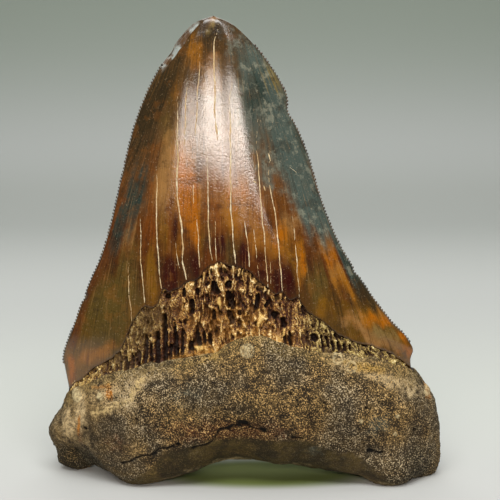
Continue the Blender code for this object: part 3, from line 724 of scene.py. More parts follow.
# %% [markdown]
# ## The root
# The root is porous dentine, now full of sand and mineral. Seen closely it is a crust of grains less than a
# millimetre across, with a few cracks, small holes and stuck pebbles, and it is smoother underneath, where
# it was worn. A bump map could draw the crust, but one skin again holds all of it, so the outline is rough
# too. Its two feet are cut off level, because that is what it stands on.

# %% Points of the root
ROOT_COLUMNS = (410, 190)
ROOT_ROWS = 156
# The ledge's turned-in border, as (inset, lift)
ROOT_LEDGE_STEPS = [(2.4, -0.5), (1.4, -0.12), (0.75, 0.1), (0.3, 0.12)]
root_shares = (np.arange(ROOT_ROWS) + 0.02) / (ROOT_ROWS - 0.55)
root_crowding = 0.35 + 0.65 * np.minimum(1.0, root_shares * 2.5)


def root_sheet(count, side):
    u = columns_at(count, root_crowding)
    rows = root_rows(root_shares, u, side)
    ledge = edge_rows(rows[0], u[0], ROOT_LEDGE_STEPS, side)
    return np.concatenate([ledge, rows]), np.concatenate([np.repeat(u[:1], len(ledge), axis=0), u])


rings, root_u = wrap_round(ROOT_COLUMNS, root_sheet)
root_x, root_z = rings[..., 0], rings[..., 2]
front = facing(rings, root_u, 1.0)
print("root rings:", rings.shape[:2])

# %% Places of cracks, holes and pebbles on the root
ROOT_CRACKS = [[(-31.1, 7.1), (-28.3, 7.7), (-26, 9.1), (-22.4, 10.1), (-21, 11.4), (-17.7, 12.1)],
               [(-12.7, 11.5), (-7.8, 12.9), (-6.1, 16.3), (-0.7, 17.8)], [(1.5, 17.8), (5.7, 16.7)],
               [(12.5, 14.4), (15, 14)], [(31.8, 10.2), (35.3, 9.8)]]
# (x, z, width, height, turn in degrees)
ROOT_HOLES = [(-16.4, 12.7, 1.3, 1.1, 0), (0, 18.8, 3.2, 1.6, 4), (-40.5, 15, 0.8, 0.9, 0),
              (20.5, 24, 0.8, 0.8, 0), (-27, 19, 0.9, 0.7, 0), (12, 26.5, 0.7, 0.9, 0),
              (44, 15, 0.9, 0.7, 0), (31, 22, 0.7, 0.7, 0)]
# (x, z, half width, half height, height)
PEBBLES = [(-43.2, 22.2, 1.7, 1.7, 0.6), (1.1, 37.2, 1.1, 1.1, 0.35), (-36.4, 23.6, 1, 1, 0.3),
           (48, 23.6, 1.4, 1.4, 0.35), (39.3, 19, 0.6, 0.6, 0.25), (29.6, 18.9, 0.6, 0.6, 0.25),
           (38.8, 14.5, 0.6, 0.6, 0.25)]
# The upper border of the worn underside, as (x, z), and rings left by shells, as (x, z, radius)
WORN_TOP = [(-48, -2), (-36, -1), (-28, 3.5), (-19, 10), (-8, 12.8), (8, 13.8), (22, 12), (30, 8),
            (37, 2.5), (44, -1), (51, -2)]
SHELL_RINGS = [(1.1, 37.2, 1.5), (23.8, 34.3, 1.1), (27.3, 32.2, 1.2)]
CRACK_DEPTH = 0.55
HOLE_DEPTH = 0.8
SHELL_HEIGHT = 0.25

# %% Grains, pits and the worn underside
broad = 0.4 * lumps(rings, 9.0, 51) + 0.28 * lumps(rings, 4.2, 52) + 0.16 * lumps(rings, 2.0, 53)
grain_distance = grains(rings, 0.75, 54)[0]
grain = 0.28 * (0.55 - grain_distance) + 0.08 * lumps(rings, 0.6, 55)
pit_distance, pit_number = grains(rings, 2.3, 56)
pits = soft_step(0.34, 0.16, pit_distance) * soft_step(0.3, 0.2, pit_number)
above_worn = root_z - height_of(WORN_TOP, root_x)
# The worn underside is smoother, and this mask also darkens it in the material: partly its own colour,
# partly painted shade of the downward-facing lower root.
worn = soft_step(1.0, -1.0, above_worn + 1.2 * lumps(rings, 4.0, 60)) * front

# %% Height of the root
shaken = rings + np.stack([0.3 * lumps(rings, 1.6, 58), 0 * root_z,
                           0.4 * lumps(rings, 1.6, 59) + 0.28 * lumps(rings, 0.7, 65)], axis=-1)
crack_wander = 0.2 * lumps(rings, 1.9, 66)
to_crack = np.minimum.reduce([distance_to(line, shaken) for line in ROOT_CRACKS])
cut = soft_step(0.5, 0.2, to_crack + crack_wander)
hole = sunk(rings, ROOT_HOLES, 0.2 * lumps(rings, 0.7, 57))
pebble, pebble_height = domes(rings, PEBBLES, 0.3, front)
shell = np.zeros_like(root_z)
for x, z, radius in SHELL_RINGS:
    from_ring = np.abs(np.hypot(root_x - x, root_z - z) - radius)
    shell = np.maximum(shell, soft_step(0.42, 0.1, from_ring) * front)
crust = broad + grain * (1 - 0.65 * worn) * (1 - 0.6 * pebble) - 0.28 * pits * (1 - worn)
root_height = relief(rings) + crust - (CRACK_DEPTH * cut + HOLE_DEPTH * hole) * front
root_height = root_height + pebble_height + SHELL_HEIGHT * shell
root_points = rings + outward(rings) * root_height[..., None]
# The feet are cut off level with the ground
root_points[..., 2] = np.maximum(root_points[..., 2], 0)
root = skin("root_dentine", root_points, ROOT_COLUMNS[0])
report(root)

# %% Where each stain lies on the root, as (x, z, half width, half height, lean, strength)
# The umber blobs low on the root are partly its own dark colour and partly painted shade of its lower face,
# which faces down.
ROOT_STAINS = {
    "tan": [(-20, 1.4, 12, 1.4, -8, 0.9), (34, 1, 8, 1.8, 0, 0.9), (6, 5.2, 14, 1, 0, 0.6),
            (-31, 27.6, 3, 13, 66, 0.8), (30, 32, 2.6, 12, -68, 0.9), (-20, 31, 6, 2, 0, 0.5),
            (42, 26, 4, 3, 0, 0.7), (-33, 22, 6, 3, 0, 0.6), (-44, 15, 6, 8, 0, 0.6)],
    "rust": [(-42.2, 15.5, 1.2, 6, 0, 0.7), (-2, 16.6, 20, 4, 0, 0.9), (-33, 12, 4, 3, 0, 0.4)],
    "umber_and_shade": [(6, 9, 22, 4.5, 0, 1), (46, 5, 7, 6, 0, 0.8), (-45, 4, 7, 5, 0, 1),
              (-26, 3, 12, 3.5, 0, 0.5), (34, 3, 12, 4, 0, 0.5), (-1, 23, 8, 7, 0, 0.5),
              (-38.6, 3.6, 3, 3, 0, 1)],
    "cream": [(-41.8, 19, 1.5, 5, 0, 1), (-45.6, 14.6, 2.2, 4.6, 20, 0.8), (-43.2, 22.2, 2, 2, 0, 1),
              (-32, 24.5, 4.5, 2, 28, 0.6), (-27.5, 26.5, 2.5, 4, 20, 0.6), (44, 24, 4, 2, 0, 0.5),
              (27, 33, 4.5, 1.6, 12, 1), (36, 28.5, 1.8, 6, -62, 0.8), (-20, 1.2, 12, 1.2, -8, 0.6),
              (34, 0.8, 8, 1.6, 0, 0.7), (2, 4.6, 16, 1.2, 0, 0.7)],
    "orange": [(-34, 24.6, 1, 2, -12, 1), (48.2, 23.6, 1.4, 2.4, 0, 0.9), (-42.3, 15.7, 0.5, 3, 8, 0.9),
               (-36.4, 25.9, 3.4, 0.7, -14, 0.7)],
    "honey": [(30.5, 31.9, 6.5, 1.3, 14, 1), (-34.2, 26, 0.7, 1.6, -12, 0.7),
              (-8.5, 35.2, 3.6, 0.8, -20, 0.8)],
    "slate": [(34.3, 17.4, 3.6, 3, 0, 0.6), (18.4, 10.2, 3, 2, 0, 0.6), (-14, 26, 5, 4, 0, 0.4)],
}
# A pale vein across the left lobe, as (x, z)
VEIN = [(-37.9, 19.1), (-28.6, 23.7), (-25.5, 29.9)]
strewn = soft_step(0.1, 0.7, lumps(rings, 8.0, 61)) * 0.5
for stain, blobs in ROOT_STAINS.items():
    # Umber is also laid on the middle of the worn underside in front: painted shade of the lower root.
    low = 0.95 * worn * soft_step(34, 16, np.abs(root_x - 3)) if stain == "umber_and_shade" else 0
    keep(root, stain, front * np.maximum(stained(rings, blobs), low) + (1 - front) * strewn)
print("stains on the root:", ", ".join(ROOT_STAINS))

# %% What else the root's material reads
under_ledge = on_own_side(front, root_top_height, root_x) - root_z
ledge = soft_step(4.2, 0.6, under_ledge + 0.8 * lumps(rings, 2.2, 64))
keep(root, "ledge", ledge)
keep(root, "pebble", np.maximum(pebble * 0.9, shell * 0.8))
keep(root, "vein", soft_step(1.3, 0.1, distance_to(VEIN, shaken) + 0.5 * lumps(rings, 1.4, 62)) * front)
middle = soft_step(-36, -24, root_x + 0.9 * (root_z - 16)) * (1 - 0.35 * soft_step(30, 44, root_x))
grit = np.where(front > 0.5, middle, 0.6) * (1 - 0.9 * worn) * (1 - 0.3 * ledge)
keep(root, "grit", grit + 0.3 * lumps(rings, 5.0, 63))
keep(root, "worn", worn)
# Cracks, holes and pits, which the material paints near-black: painted shade.
keep(root, "hollow", np.clip(np.maximum(np.maximum(cut, hole) * front, 0.45 * pits), 0, 1))
print("lowest point of the root, mm:", round(float(root_points[..., 2].min()), 3))

# %% [markdown]
# ## Cracks filled with pale mineral, by Geometry Nodes
# Sea water left cream calcite in the drying cracks of the enamel, and they are the tooth's most striking
# drawing. Each crack is a short list of points. A script could sweep a tube along each one itself, but a
# node tree does it for all of them at once: lines become curves, each point carries its own width, and a
# small circle swept along them gives a thin ridge that tapers to nothing at its ends.

# %% One node, and one colour
def linear(hex_colour):
    """An sRGB colour such as "#c8a070" as the linear values that a shader works in."""
    shares = [int(hex_colour[place:place + 2], 16) / 255 for place in (1, 3, 5)]
    return (*[s / 12.92 if s <= 0.04045 else ((s + 0.055) / 1.055) ** 2.4 for s in shares], 1.0)


def put(tree, kind, inputs=(), **settings):
    """Adds one node. inputs holds (socket, value), where a value may be a hex colour or a node's output."""
    made = tree.nodes.new(kind)
    for name, value in settings.items():
        setattr(made, name, value)
    for socket, value in inputs:
        if isinstance(value, bpy.types.NodeSocket):
            tree.links.new(value, made.inputs[socket])
        elif isinstance(value, str) and value.startswith("#"):
            made.inputs[socket].default_value = linear(value)
        else:
            made.inputs[socket].default_value = value
    return made


# %% A geometry tree, its result, and the guides that it follows
def geometry_tree(name, sizes):
    """A tree with one geometry in and out and named inputs, and its entry node."""
    tree = bpy.data.node_groups.new(name, "GeometryNodeTree")
    tree.interface.new_socket("Geometry", in_out="INPUT", socket_type="NodeSocketGeometry")
    tree.interface.new_socket("Geometry", in_out="OUTPUT", socket_type="NodeSocketGeometry")
    for label, kind in sizes.items():
        tree.interface.new_socket(label, in_out="INPUT", socket_type=kind)
    return tree, put(tree, "NodeGroupInput").outputs


def end_tree(tree, geometry, material):
    """Ends a tree the way an export needs it: real mesh, with its material."""
    real = put(tree, "GeometryNodeRealizeInstances", [("Geometry", geometry)]).outputs[0]
    made = put(tree, "GeometryNodeSetMaterial", [("Geometry", real), ("Material", material)]).outputs[0]
    put(tree, "NodeGroupOutput", [("Geometry", made)])


def grown(guide, tree, sizes):
    """Runs the tree on a guide object, which then holds the result as a plain mesh."""
    modifier = guide.modifiers.new(tree.name, "NODES")
    modifier.node_group = tree
    for item in tree.interface.items_tree:
        if item.item_type == "SOCKET" and item.in_out == "INPUT" and item.name in sizes:
            modifier[item.identifier] = sizes[item.name]
    graph = bpy.context.evaluated_depsgraph_get()
    mesh = bpy.data.meshes.new_from_object(guide.evaluated_get(graph), preserve_all_data_layers=True,
                                           depsgraph=graph)
    guide.modifiers.remove(modifier)
    mesh.name = guide.name
    guide.data = mesh
    return guide


def lines_object(name, lines, **values):
    """A guide object of lines of points in metres, with one value for each point under each name."""
    points = [point for line in lines for point in line]
    starts = np.cumsum([0] + [len(line) for line in lines])
    edges = [(i, i + 1) for start, stop in zip(starts, starts[1:]) for i in range(start, stop - 1)]
    mesh = bpy.data.meshes.new(name)
    mesh.from_pydata([tuple(point) for point in points], edges, [])
    guide = bpy.data.objects.new(name, mesh)
    bpy.context.scene.collection.objects.link(guide)
    for label, numbers in values.items():
        keep(guide, label, np.concatenate(numbers))
    return guide


# %% [markdown]
# ### Finishes in layers
# Each surface of the tooth is a base colour with thin layers over it, as in a painter's glaze: a stain, a
# cloud, a speck. A node tree could be drawn by hand, but it would hold some hundred nodes, so one class
# builds it layer by layer. A layer has a colour and terms that are multiplied to say where it lies.

# %% Finishes in layers
class Finish:
    """A material as it is built up: its node tree, its shader and its colour so far."""

    def __init__(self, name, colour=None, **settings):
        self.material = bpy.data.materials.new(name)
        self.material.use_nodes = True
        self.tree = self.material.node_tree
        self.shader = self.tree.nodes["Principled BSDF"]
        self.place = put(self.tree, "ShaderNodeTexCoord").outputs["Object"]
        self.colour = colour
        for socket, value in settings.items():
            self.shader.inputs[socket.replace("_", " ")].default_value = value

    def stored(self, *names, output="Fac"):
        """By name, what the mesh stores for each of its points."""
        return {name: put(self.tree, "ShaderNodeAttribute", attribute_name=name).outputs[output]
                for name in names}

    def noises(self, place=None, **sizes):
        """Noises by name, from (size across in millimetres, detail, roughness)."""
        made = {}
        for name, (size, detail, roughness) in sizes.items():
            # Stored places are in millimetres, and the piece's own are in metres
            scale = 1 / (size * MM) if place is None else 1 / size
            inputs = [("Vector", self.place if place is None else place), ("Scale", scale),
                      ("Detail", detail), ("Roughness", roughness)]
            made[name] = put(self.tree, "ShaderNodeTexNoise", inputs).outputs["Fac"]
        return SimpleNamespace(**made)

    def total(self, start, *terms):
        """A start with patterns added to it, each term as (weight, pattern)."""
        for weight, pattern in terms:
            inputs = [(0, pattern), (1, weight), (2, start)]
            start = put(self.tree, "ShaderNodeMath", inputs, operation="MULTIPLY_ADD").outputs[0]
        return start

    def strength(self, *terms):
        """The product of terms: numbers, patterns, or (pattern, low, high, share at low, share at high)."""
        sockets = ("Value", "From Min", "From Max", "To Min", "To Max")
        product = None
        for term in terms:
            if isinstance(term, tuple):
                inputs = zip(sockets, (*term, 0, 1))
                range_node = put(self.tree, "ShaderNodeMapRange", inputs, interpolation_type="SMOOTHSTEP")
                term = range_node.outputs[0]
            if product is None:
                product = term
            else:
                inputs = [(0, product), (1, term)]
                product = put(self.tree, "ShaderNodeMath", inputs, operation="MULTIPLY").outputs[0]
        return product

    def mix(self, low, high, *terms):
        """Two colours, the second as strong as the product of the terms."""
        inputs = [(0, self.strength(*terms)), (6, low), (7, high)]
        return put(self.tree, "ShaderNodeMix", inputs, data_type="RGBA").outputs[2]

    def lay(self, colour, *terms):
        """Lays one more colour over the colour so far."""
        self.colour = self.mix(self.colour, colour, *terms)

    def stain(self, stains, said, uneven):
        """Lays stains (name, colour, raggedness) where the mesh has them. Uneven breaks up their borders."""
        for name, colour, raggedness in stains:
            ragged = self.total(said[name], (raggedness, uneven))
            self.lay(colour, (ragged, 0.1, 0.95), (said[name], 0, 0.2))

    def levels(self, value, stops):
        """A colour picked by a value, from stops (value, hex colour)."""
        low, high = stops[0][0], stops[-1][0]
        share = self.total(-low / (high - low), (1 / (high - low), value))
        made = put(self.tree, "ShaderNodeValToRGB", [("Fac", share)])
        made.color_ramp.interpolation = "EASE"
        elements = made.color_ramp.elements
        elements.remove(elements[1])
        elements[0].color = linear(stops[0][1])
        for place, hex_colour in stops[1:]:
            elements.new((place - low) / (high - low)).color = linear(hex_colour)
        return made.outputs["Color"]

    def done(self, roughness=None, bumps=()):
        """Links the colour, a roughness and bumps (height, millimetres), the coarsest bump first."""
        normal = None
        for height, distance in bumps:
            inputs = [("Height", height), ("Distance", distance * MM), ("Strength", 1.0)]
            if normal is not None:
                inputs.append(("Normal", normal))
            normal = put(self.tree, "ShaderNodeBump", inputs).outputs[0]
        for socket, value in (("Base Color", self.colour), ("Roughness", roughness), ("Normal", normal)):
            if value is not None:
                self.tree.links.new(value, self.shader.inputs[socket])
        print(f"{self.material.name}: {len(self.tree.nodes)} nodes")


# %% [markdown]
# ### Calcite
# Calcite that grew in a crack is a dull, slightly sugary cream, stained honey where iron reached it. A
# plain diffuse shader with a little noise in its colour gives the eye a chalky line on glassy enamel.

# %% Calcite for the crack fills
calcite = Finish("calcite_crack_fill", "#d8c9a4", Roughness=0.6, IOR=1.5)
noise = calcite.noises(patches=(5, 2, 0.5), specks=(0.6, 2, 0.5))
specks = calcite.strength((noise.specks, 0.35, 0.65))
calcite.lay("#c4a878", (noise.patches, 0.4, 0.62))
calcite.lay("#8d6a42", specks, 0.55)
calcite.done(bumps=[(specks, 0.04)])

# %% The cracks of the crown, as (width in millimetres, points (x, z) from the top)
TONGUE_CRACKS = [
    (0.62, [(-6, 117.8), (-6.6, 115.3), (-7.1, 113.8), (-7, 109.4), (-7, 105), (-7, 100.8), (-6.9, 95.2),
            (-6.4, 89)]),
    (0.44, [(-10.8, 110.4), (-10.7, 105.4), (-11.3, 100.1), (-11.5, 95.2), (-11.9, 90)]),
    (0.4, [(-13.9, 105.5), (-14.1, 99.8), (-14.4, 93.4), (-14.5, 87.5)]),
    (0.62, [(-16.3, 101.3), (-16.4, 95.1), (-16.2, 87.8), (-16.3, 77.2), (-15.8, 70.8), (-15.1, 64.6),
            (-14.9, 58), (-14.2, 54.4)]),
    (0.5, [(-21.9, 84.4), (-21.5, 78.5), (-21.7, 70.6), (-21.3, 61.8), (-20.4, 52.1), (-19.9, 50)]),
    (0.44, [(-25.9, 71.3), (-25.7, 65.9), (-25.6, 57.7), (-24.9, 47.2)]),
    (0.4, [(-29.1, 58.7), (-28.9, 52.7), (-28.2, 42)]),
    (0.52, [(-8.9, 86.4), (-8.7, 77.3), (-8.6, 70.9), (-8.3, 63.4), (-7.8, 59.4)]),
    (0.34, [(-7.2, 72.6), (-6.8, 64.7), (-6.5, 59.2)]),
    (0.38, [(-11.6, 72.1), (-11.2, 66.4), (-10.7, 57.4)]),
    (0.3, [(-12.4, 79), (-12.4, 73.1)]),
    (0.56, [(-2.7, 105.5), (-3.1, 99.8), (-3.1, 90.5), (-3, 85.1), (-3, 74.1), (-2.5, 66.4),
            (-1.8, 58.4)]),
    (0.44, [(0.2, 70.8), (0.5, 67.7), (1.3, 62.7), (1.6, 57)]),
    (0.34, [(2.7, 69.1), (3.3, 62), (3.9, 55)]),
    (0.52, [(3.8, 94.1), (3.5, 88.1), (4.1, 78.9), (4.9, 70.2), (5.7, 59.8), (6.4, 52.6)]),
    (0.48, [(6.6, 86.4), (6.7, 77.3), (8, 70.6), (9, 61.9), (9.9, 51.4)]),
    (0.34, [(12.3, 71.1), (13, 65), (13.6, 57.1), (14.2, 49.7)]),
    (0.26, [(6.8, 60.6), (7, 52.6)]),
    (0.24, [(-16.9, 65), (-16.7, 61), (-15.9, 57)]),
    (0.22, [(11.1, 82.5), (13.7, 80.4)]),
    (0.6, [(6.3, 85.8), (6.6, 84.7), (6.8, 83.6)]),
    (0.6, [(2.5, 79), (3, 78.6), (3.6, 78)]),
    (0.44, [(5.1, 78), (5.3, 77.3), (5.6, 76.4)])]
LIP_CRACKS = [
    (0.5, [(-5, 108), (-4.6, 92), (-4.2, 74), (-4.4, 58), (-4, 43.6)]),
    (0.44, [(-12.4, 96), (-12.8, 80), (-13.4, 62), (-13.8, 41)]),
    (0.4, [(4, 92), (4.8, 76), (6.4, 60), (7, 43)]),
    (0.36, [(-22, 74), (-23, 58), (-23.6, 38)]),
    (0.4, [(12, 78), (13.6, 62), (15.4, 42.6)]),
    (0.3, [(-31, 58), (-31.6, 46), (-32.2, 34)]),
    (0.3, [(23, 58), (24.4, 48), (25.4, 39.6)]),
    (0.26, [(0.6, 66), (1, 54), (1.2, 44)])]

# %% Cracks laid on the crown
CRACK_STEP = 0.9
# Rays at the crown start this far out, well clear of it
GUIDE_START = 60


def crack_on(surface, line, width, side, number):
    """Points of a crack laid on the surface, and the half width at each. Both in metres."""
    length = sum(math.dist(a, b) for a, b in zip(line, line[1:]))
    shares = np.linspace(0, 1, max(4, round(length / CRACK_STEP)))
    front_view = along(line, shares)
    # Each crack reads its own part of the noise
    drift = np.column_stack([shares * 0 + number * 7.3, front_view[:, 1], shares * 0])
    x = front_view[:, 0] + 0.16 * lumps(drift, 3.1, 71) + 0.05 * lumps(drift, 1.1, 72)
    # It tapers slowly towards its first point and quickly towards its last, and its width varies
    taper = soft_step(0, 0.35, shares) * (0.45 + 0.55 * soft_step(1.0, 0.93, shares))
    half_width = width / 2 * (0.12 + 0.88 * taper) * (1 + 0.45 * lumps(drift, 1.3, 73))
    placed = []
    for px, pz in zip(x, front_view[:, 1]):
        start = Vector((px, GUIDE_START * OUT[side], pz)) * MM
        placed.append(surface.ray_cast(start, Vector((0, -OUT[side], 0)))[0])
    # Less than half of the fill stands out of the enamel
    sunk_by = np.array([0, -OUT[side], 0]) * (0.45 * half_width[:, None] + 0.02) * MM
    return np.array(placed) + sunk_by, 0.78 * half_width * MM


graph = bpy.context.evaluated_depsgraph_get()
crown_surface = BVHTree.FromObject(crown, graph)
cracks = [crack_on(crown_surface, line, width, side, number)
          for side, group in (("tongue", TONGUE_CRACKS), ("lip", LIP_CRACKS))
          for number, (width, line) in enumerate(group)]
crack_fills = lines_object("crack_fills", [c[0] for c in cracks], half_width=[c[1] for c in cracks])
print("cracks:", len(cracks), "points:", sum(len(c[0]) for c in cracks))

# %% The tree that fills the cracks
tree, entry = geometry_tree("fill_cracks", {"Spacing": "NodeSocketFloat", "Roughness": "NodeSocketFloat"})
curves = put(tree, "GeometryNodeMeshToCurve", [("Mesh", entry["Geometry"])]).outputs[0]
even = put(tree, "GeometryNodeResampleCurve",
           [("Curve", curves), ("Length", entry["Spacing"])], mode="LENGTH").outputs[0]
jitter = put(tree, "ShaderNodeTexNoise", [("Scale", 1 / (0.8 * MM)), ("Detail", 1.0)]).outputs["Color"]
centred = put(tree, "ShaderNodeVectorMath",
              [(0, jitter), (1, (0.5, 0.5, 0.5))], operation="SUBTRACT").outputs[0]
shift = put(tree, "ShaderNodeVectorMath",
            [(0, centred), ("Scale", entry["Roughness"])], operation="SCALE").outputs[0]
moved = put(tree, "GeometryNodeSetPosition", [("Geometry", even), ("Offset", shift)]).outputs[0]
width = put(tree, "GeometryNodeInputNamedAttribute", [("Name", "half_width")], data_type="FLOAT").outputs[0]
# Seven sides are round enough for so thin a tube
circle = put(tree, "GeometryNodeCurvePrimitiveCircle", [("Resolution", 7), ("Radius", 1.0)]).outputs[0]
swept = put(tree, "GeometryNodeCurveToMesh",
            [("Curve", moved), ("Profile Curve", circle), ("Scale", width), ("Fill Caps", True)]).outputs[0]
end_tree(tree, swept, calcite.material)
grown(crack_fills, tree, {"Spacing": 0.38 * MM, "Roughness": 0.2 * MM})
report(crack_fills)

# %% [markdown]
# ## Serrations, by Geometry Nodes
# A megalodon's edges are fine saws, with about twelve small teeth to the centimetre. They could be modelled
# in the blade's own mesh, but they repeat along a path, which is what Geometry Nodes do best: points at one
# pitch along the edge, a small rounded tooth on each, and a little chance in their sizes.

# %% Guides along both cutting edges
SERRATION_PITCH = 0.85
SERRATED_LEFT = (0.17, 0.93)
SERRATED_RIGHT = (0.12, 0.93)
GUIDE_POINTS = 260


def edge_guide(column, shares):
    """The rim of the finished crown between two shares of its length, as points in metres."""
    rim = crown_points[:CROWN_ROWS, column]
    rows = np.interp(np.linspace(*shares, GUIDE_POINTS), crown_shares, np.arange(CROWN_ROWS))
    places = np.column_stack([np.interp(rows, np.arange(CROWN_ROWS), rim[:, axis]) for axis in range(3)])
    return (places + (0, SETBACK, 0)) * MM


serrations = lines_object("serrations", [edge_guide(0, SERRATED_LEFT),
                                         edge_guide(CROWN_COLUMNS[0], SERRATED_RIGHT)])

# %% [markdown]
# ### Worn enamel of the saw edges
# The small teeth are enamel too, with the shine worn off their tops. The blade's own finish could be used
# again, but it reads stored values that these meshes don't have, so they get a darker, rougher one.

# %% Material of the serrations
worn_edge = Finish("worn_edge_enamel", "#1f1d18", Roughness=0.38, IOR=1.62)
noise = worn_edge.noises(patches=(9, 2, 0.5), specks=(0.9, 2, 0.5))
worn_edge.lay("#3d2b17", (noise.patches, 0.42, 0.6))
worn_edge.lay("#7c725c", (noise.specks, 0.4, 0.65), 0.35)
worn_edge.done()

# %% The tree that sets the serrations
tree, entry = geometry_tree("saw_edge", {"Pitch": "NodeSocketFloat", "Height": "NodeSocketFloat",
                                         "Thickness": "NodeSocketFloat", "Seed": "NodeSocketInt"})
curves = put(tree, "GeometryNodeMeshToCurve", [("Mesh", entry["Geometry"])]).outputs[0]
spots = put(tree, "GeometryNodeCurveToPoints",
            [("Curve", curves), ("Length", entry["Pitch"])], mode="LENGTH").outputs
# A tooth reaches 0.44 of the pitch to each side, and sizes vary from 0.72 to 1.12
half_pitch = put(tree, "ShaderNodeMath", [(0, entry["Pitch"]), (1, 0.44)], operation="MULTIPLY").outputs[0]
half_size = put(tree, "ShaderNodeCombineXYZ",
                [("X", entry["Thickness"]), ("Y", entry["Height"]), ("Z", half_pitch)]).outputs[0]
chance = put(tree, "FunctionNodeRandomValue",
             [(2, 0.72), (3, 1.12), ("Seed", entry["Seed"])], data_type="FLOAT").outputs[1]
size = put(tree, "ShaderNodeVectorMath", [(0, half_size), ("Scale", chance)], operation="SCALE").outputs[0]
tooth = put(tree, "GeometryNodeMeshUVSphere", [("Segments", 8), ("Rings", 4), ("Radius", 1.0)]).outputs[0]
placed = put(tree, "GeometryNodeInstanceOnPoints",
             [("Points", spots["Points"]), ("Instance", tooth), ("Rotation", spots["Rotation"]),
              ("Scale", size)]).outputs[0]
end_tree(tree, placed, worn_edge.material)
grown(serrations, tree,
      {"Pitch": SERRATION_PITCH * MM, "Height": 0.38 * MM, "Thickness": 0.3 * MM, "Seed": 5})
serrations.data.shade_smooth()
report(serrations)

# %% [markdown]
# ## Enamel
# Fossil shark enamel is glassy fluorapatite with an index near 1.62. It is worn by sand to a soft shine, so
# a large light leaves a broad glow and not a mirror image. Its stains run in fine streaks along the growth
# lines, about a millimetre wide and some centimetres long, which is why their noise reads the stored
# growth lines and not plain space.

# %% Patterns in the enamel
# (name, colour, how ragged its border is)
ENAMEL_STAINS = [("umber_and_shade", "#2e2413", 1.2), ("olive", "#50401a", 1.2), ("tan", "#8e683a", 1.2),
                 ("rust", "#532e10", 1.2), ("gold", "#6e4a0d", 1.2), ("amber", "#885612", 1.2),
                 ("orange", "#985602", 1.2), ("garnet", "#300500", 1.2), ("slate", "#46524c", 0.7),
                 ("teal", "#28342e", 1.2), ("ochre", "#6f5f34", 1.2)]
# (height in metres, colour) of the enamel between its stains
ENAMEL_ZONES = [(0.022, "#6c4b0f"), (0.042, "#5c400e"), (0.056, "#4c2508"), (0.066, "#66340a"),
                (0.076, "#74451a"), (0.088, "#64482a"), (0.1, "#4e381c"), (0.12, "#3f2c13")]

enamel = Finish("fossil_enamel", Roughness=0.15, IOR=1.62)
said = enamel.stored(*TONGUE_STAINS, "chip", "rim")
growth_lines = enamel.stored("growth", output="Vector")["growth"]
height = put(enamel.tree, "ShaderNodeSeparateXYZ", [(0, enamel.place)]).outputs["Z"]
streak = enamel.noises(growth_lines, medium=(1.3, 4, 0.62), fine=(0.42, 3, 0.6), broad=(3.4, 2, 0.5))
noise = enamel.noises(clouds=(5, 6, 0.65), mottle=(2.4, 5, 0.68), patches=(2.6, 4, 0.6),
                      specks=(0.42, 2, 0.6))
uneven = enamel.total(-0.95, (0.5, streak.medium), (0.8, noise.mottle), (0.6, noise.clouds))

# %% Colour of the enamel, from its zones up to its finest specks
enamel.colour = enamel.levels(enamel.total(height, (0.02, uneven)), ENAMEL_ZONES)
enamel.lay("#3b2912", (streak.broad, 0.38, 0.62, 0, 0.5))
enamel.stain(ENAMEL_STAINS, said, uneven)
# Manganese clouds: pale and dark ones in the slate, dark and rusty ones elsewhere
enamel.lay("#7f8070", said["slate"], (noise.mottle, 0.5, 0.64, 0, 0.75))
enamel.lay("#241a10", (noise.clouds, 0.46, 0.34, 0, 0.4))
enamel.lay("#84501c", (noise.clouds, 0.52, 0.66, 0, 0.25), enamel.total(1, (-1, said["slate"])))
# On the flaked strip, pale blue-grey patches among brown: partly the strip's own colour, partly painted
# reflection
enamel.lay(enamel.mix("#4c351d", "#969e9a", (noise.patches, 0.42, 0.6)), said["chip"])
enamel.lay("#1c1209", (streak.fine, 0.5, 0.7, 0, 0.45))
enamel.lay("#a37a48", (streak.fine, 0.42, 0.28, 0, 0.3))
enamel.lay("#b49a78", (noise.specks, 0.62, 0.75, 0, 0.35))
enamel.lay("#150e07", (noise.specks, 0.4, 0.3, 0, 0.5))
# Painted shade: the enamel darkens just above its lower edge
enamel.lay("#2c1c0c", said["rim"], 0.35)

# %% Gloss and fine relief of the enamel
# The shine is uneven, and it is worn off the flaked strip and the tip
gloss = enamel.strength((noise.mottle, 0.3, 0.7, 0.1, 0.165))
worn_tip = enamel.strength((height, 0.1145, 0.1185, 0, 0.08))
enamel.done(enamel.total(gloss, (0.2, said["chip"]), (1, worn_tip)),
            [(noise.mottle, 0.016), (streak.medium, 0.012), (noise.specks, 0.026)])
crown.data.materials.append(enamel.material)

# %% [markdown]
# ## Spongy dentine of the neck band
# Its crests are cream to gold, like old ivory, and its pits are almost black. The stored height of each
# point picks the colour, so the dark in the pits is partly their own colour and partly painted shade, and
# the pale on the crests is partly their own colour and partly painted highlight.

# %% Material of the neck band
# (level, colour) from the deepest pit to the highest crest, on the bright middle and the dull ends
SPONGE_LEVELS = [(0, "#220d03"), (0.3, "#43200a"), (0.46, "#5e3813"), (0.6, "#8a5f28"), (0.78, "#bd9752"),
                 (1, "#f4deac")]
DULL_LEVELS = [(0, "#221004"), (0.26, "#37230c"), (0.44, "#57431a"), (0.57, "#7f6830"), (0.74, "#aa9558"),
               (1, "#dccb9a")]

spongy = Finish("spongy_dentine", Roughness=0.7, IOR=1.5, Specular_IOR_Level=0.25)
said = spongy.stored("level", "dull", "garnet", "gold", "olive", "slot", "shelf", "knob", "groove")
noise = spongy.noises(specks=(0.42, 2, 0.65), crumbs=(0.3, 1, 0.6), patches=(2.6, 4, 0.6))
fibres = spongy.noises(spongy.stored("growth", output="Vector")["growth"], fine=(0.36, 3, 0.6)).fine
# Specks and fibres count from their middle values, which is where the start of -1.26 comes from
level = spongy.total(-1.26, (1, said["level"]), (1.5, noise.specks), (0.9, fibres))
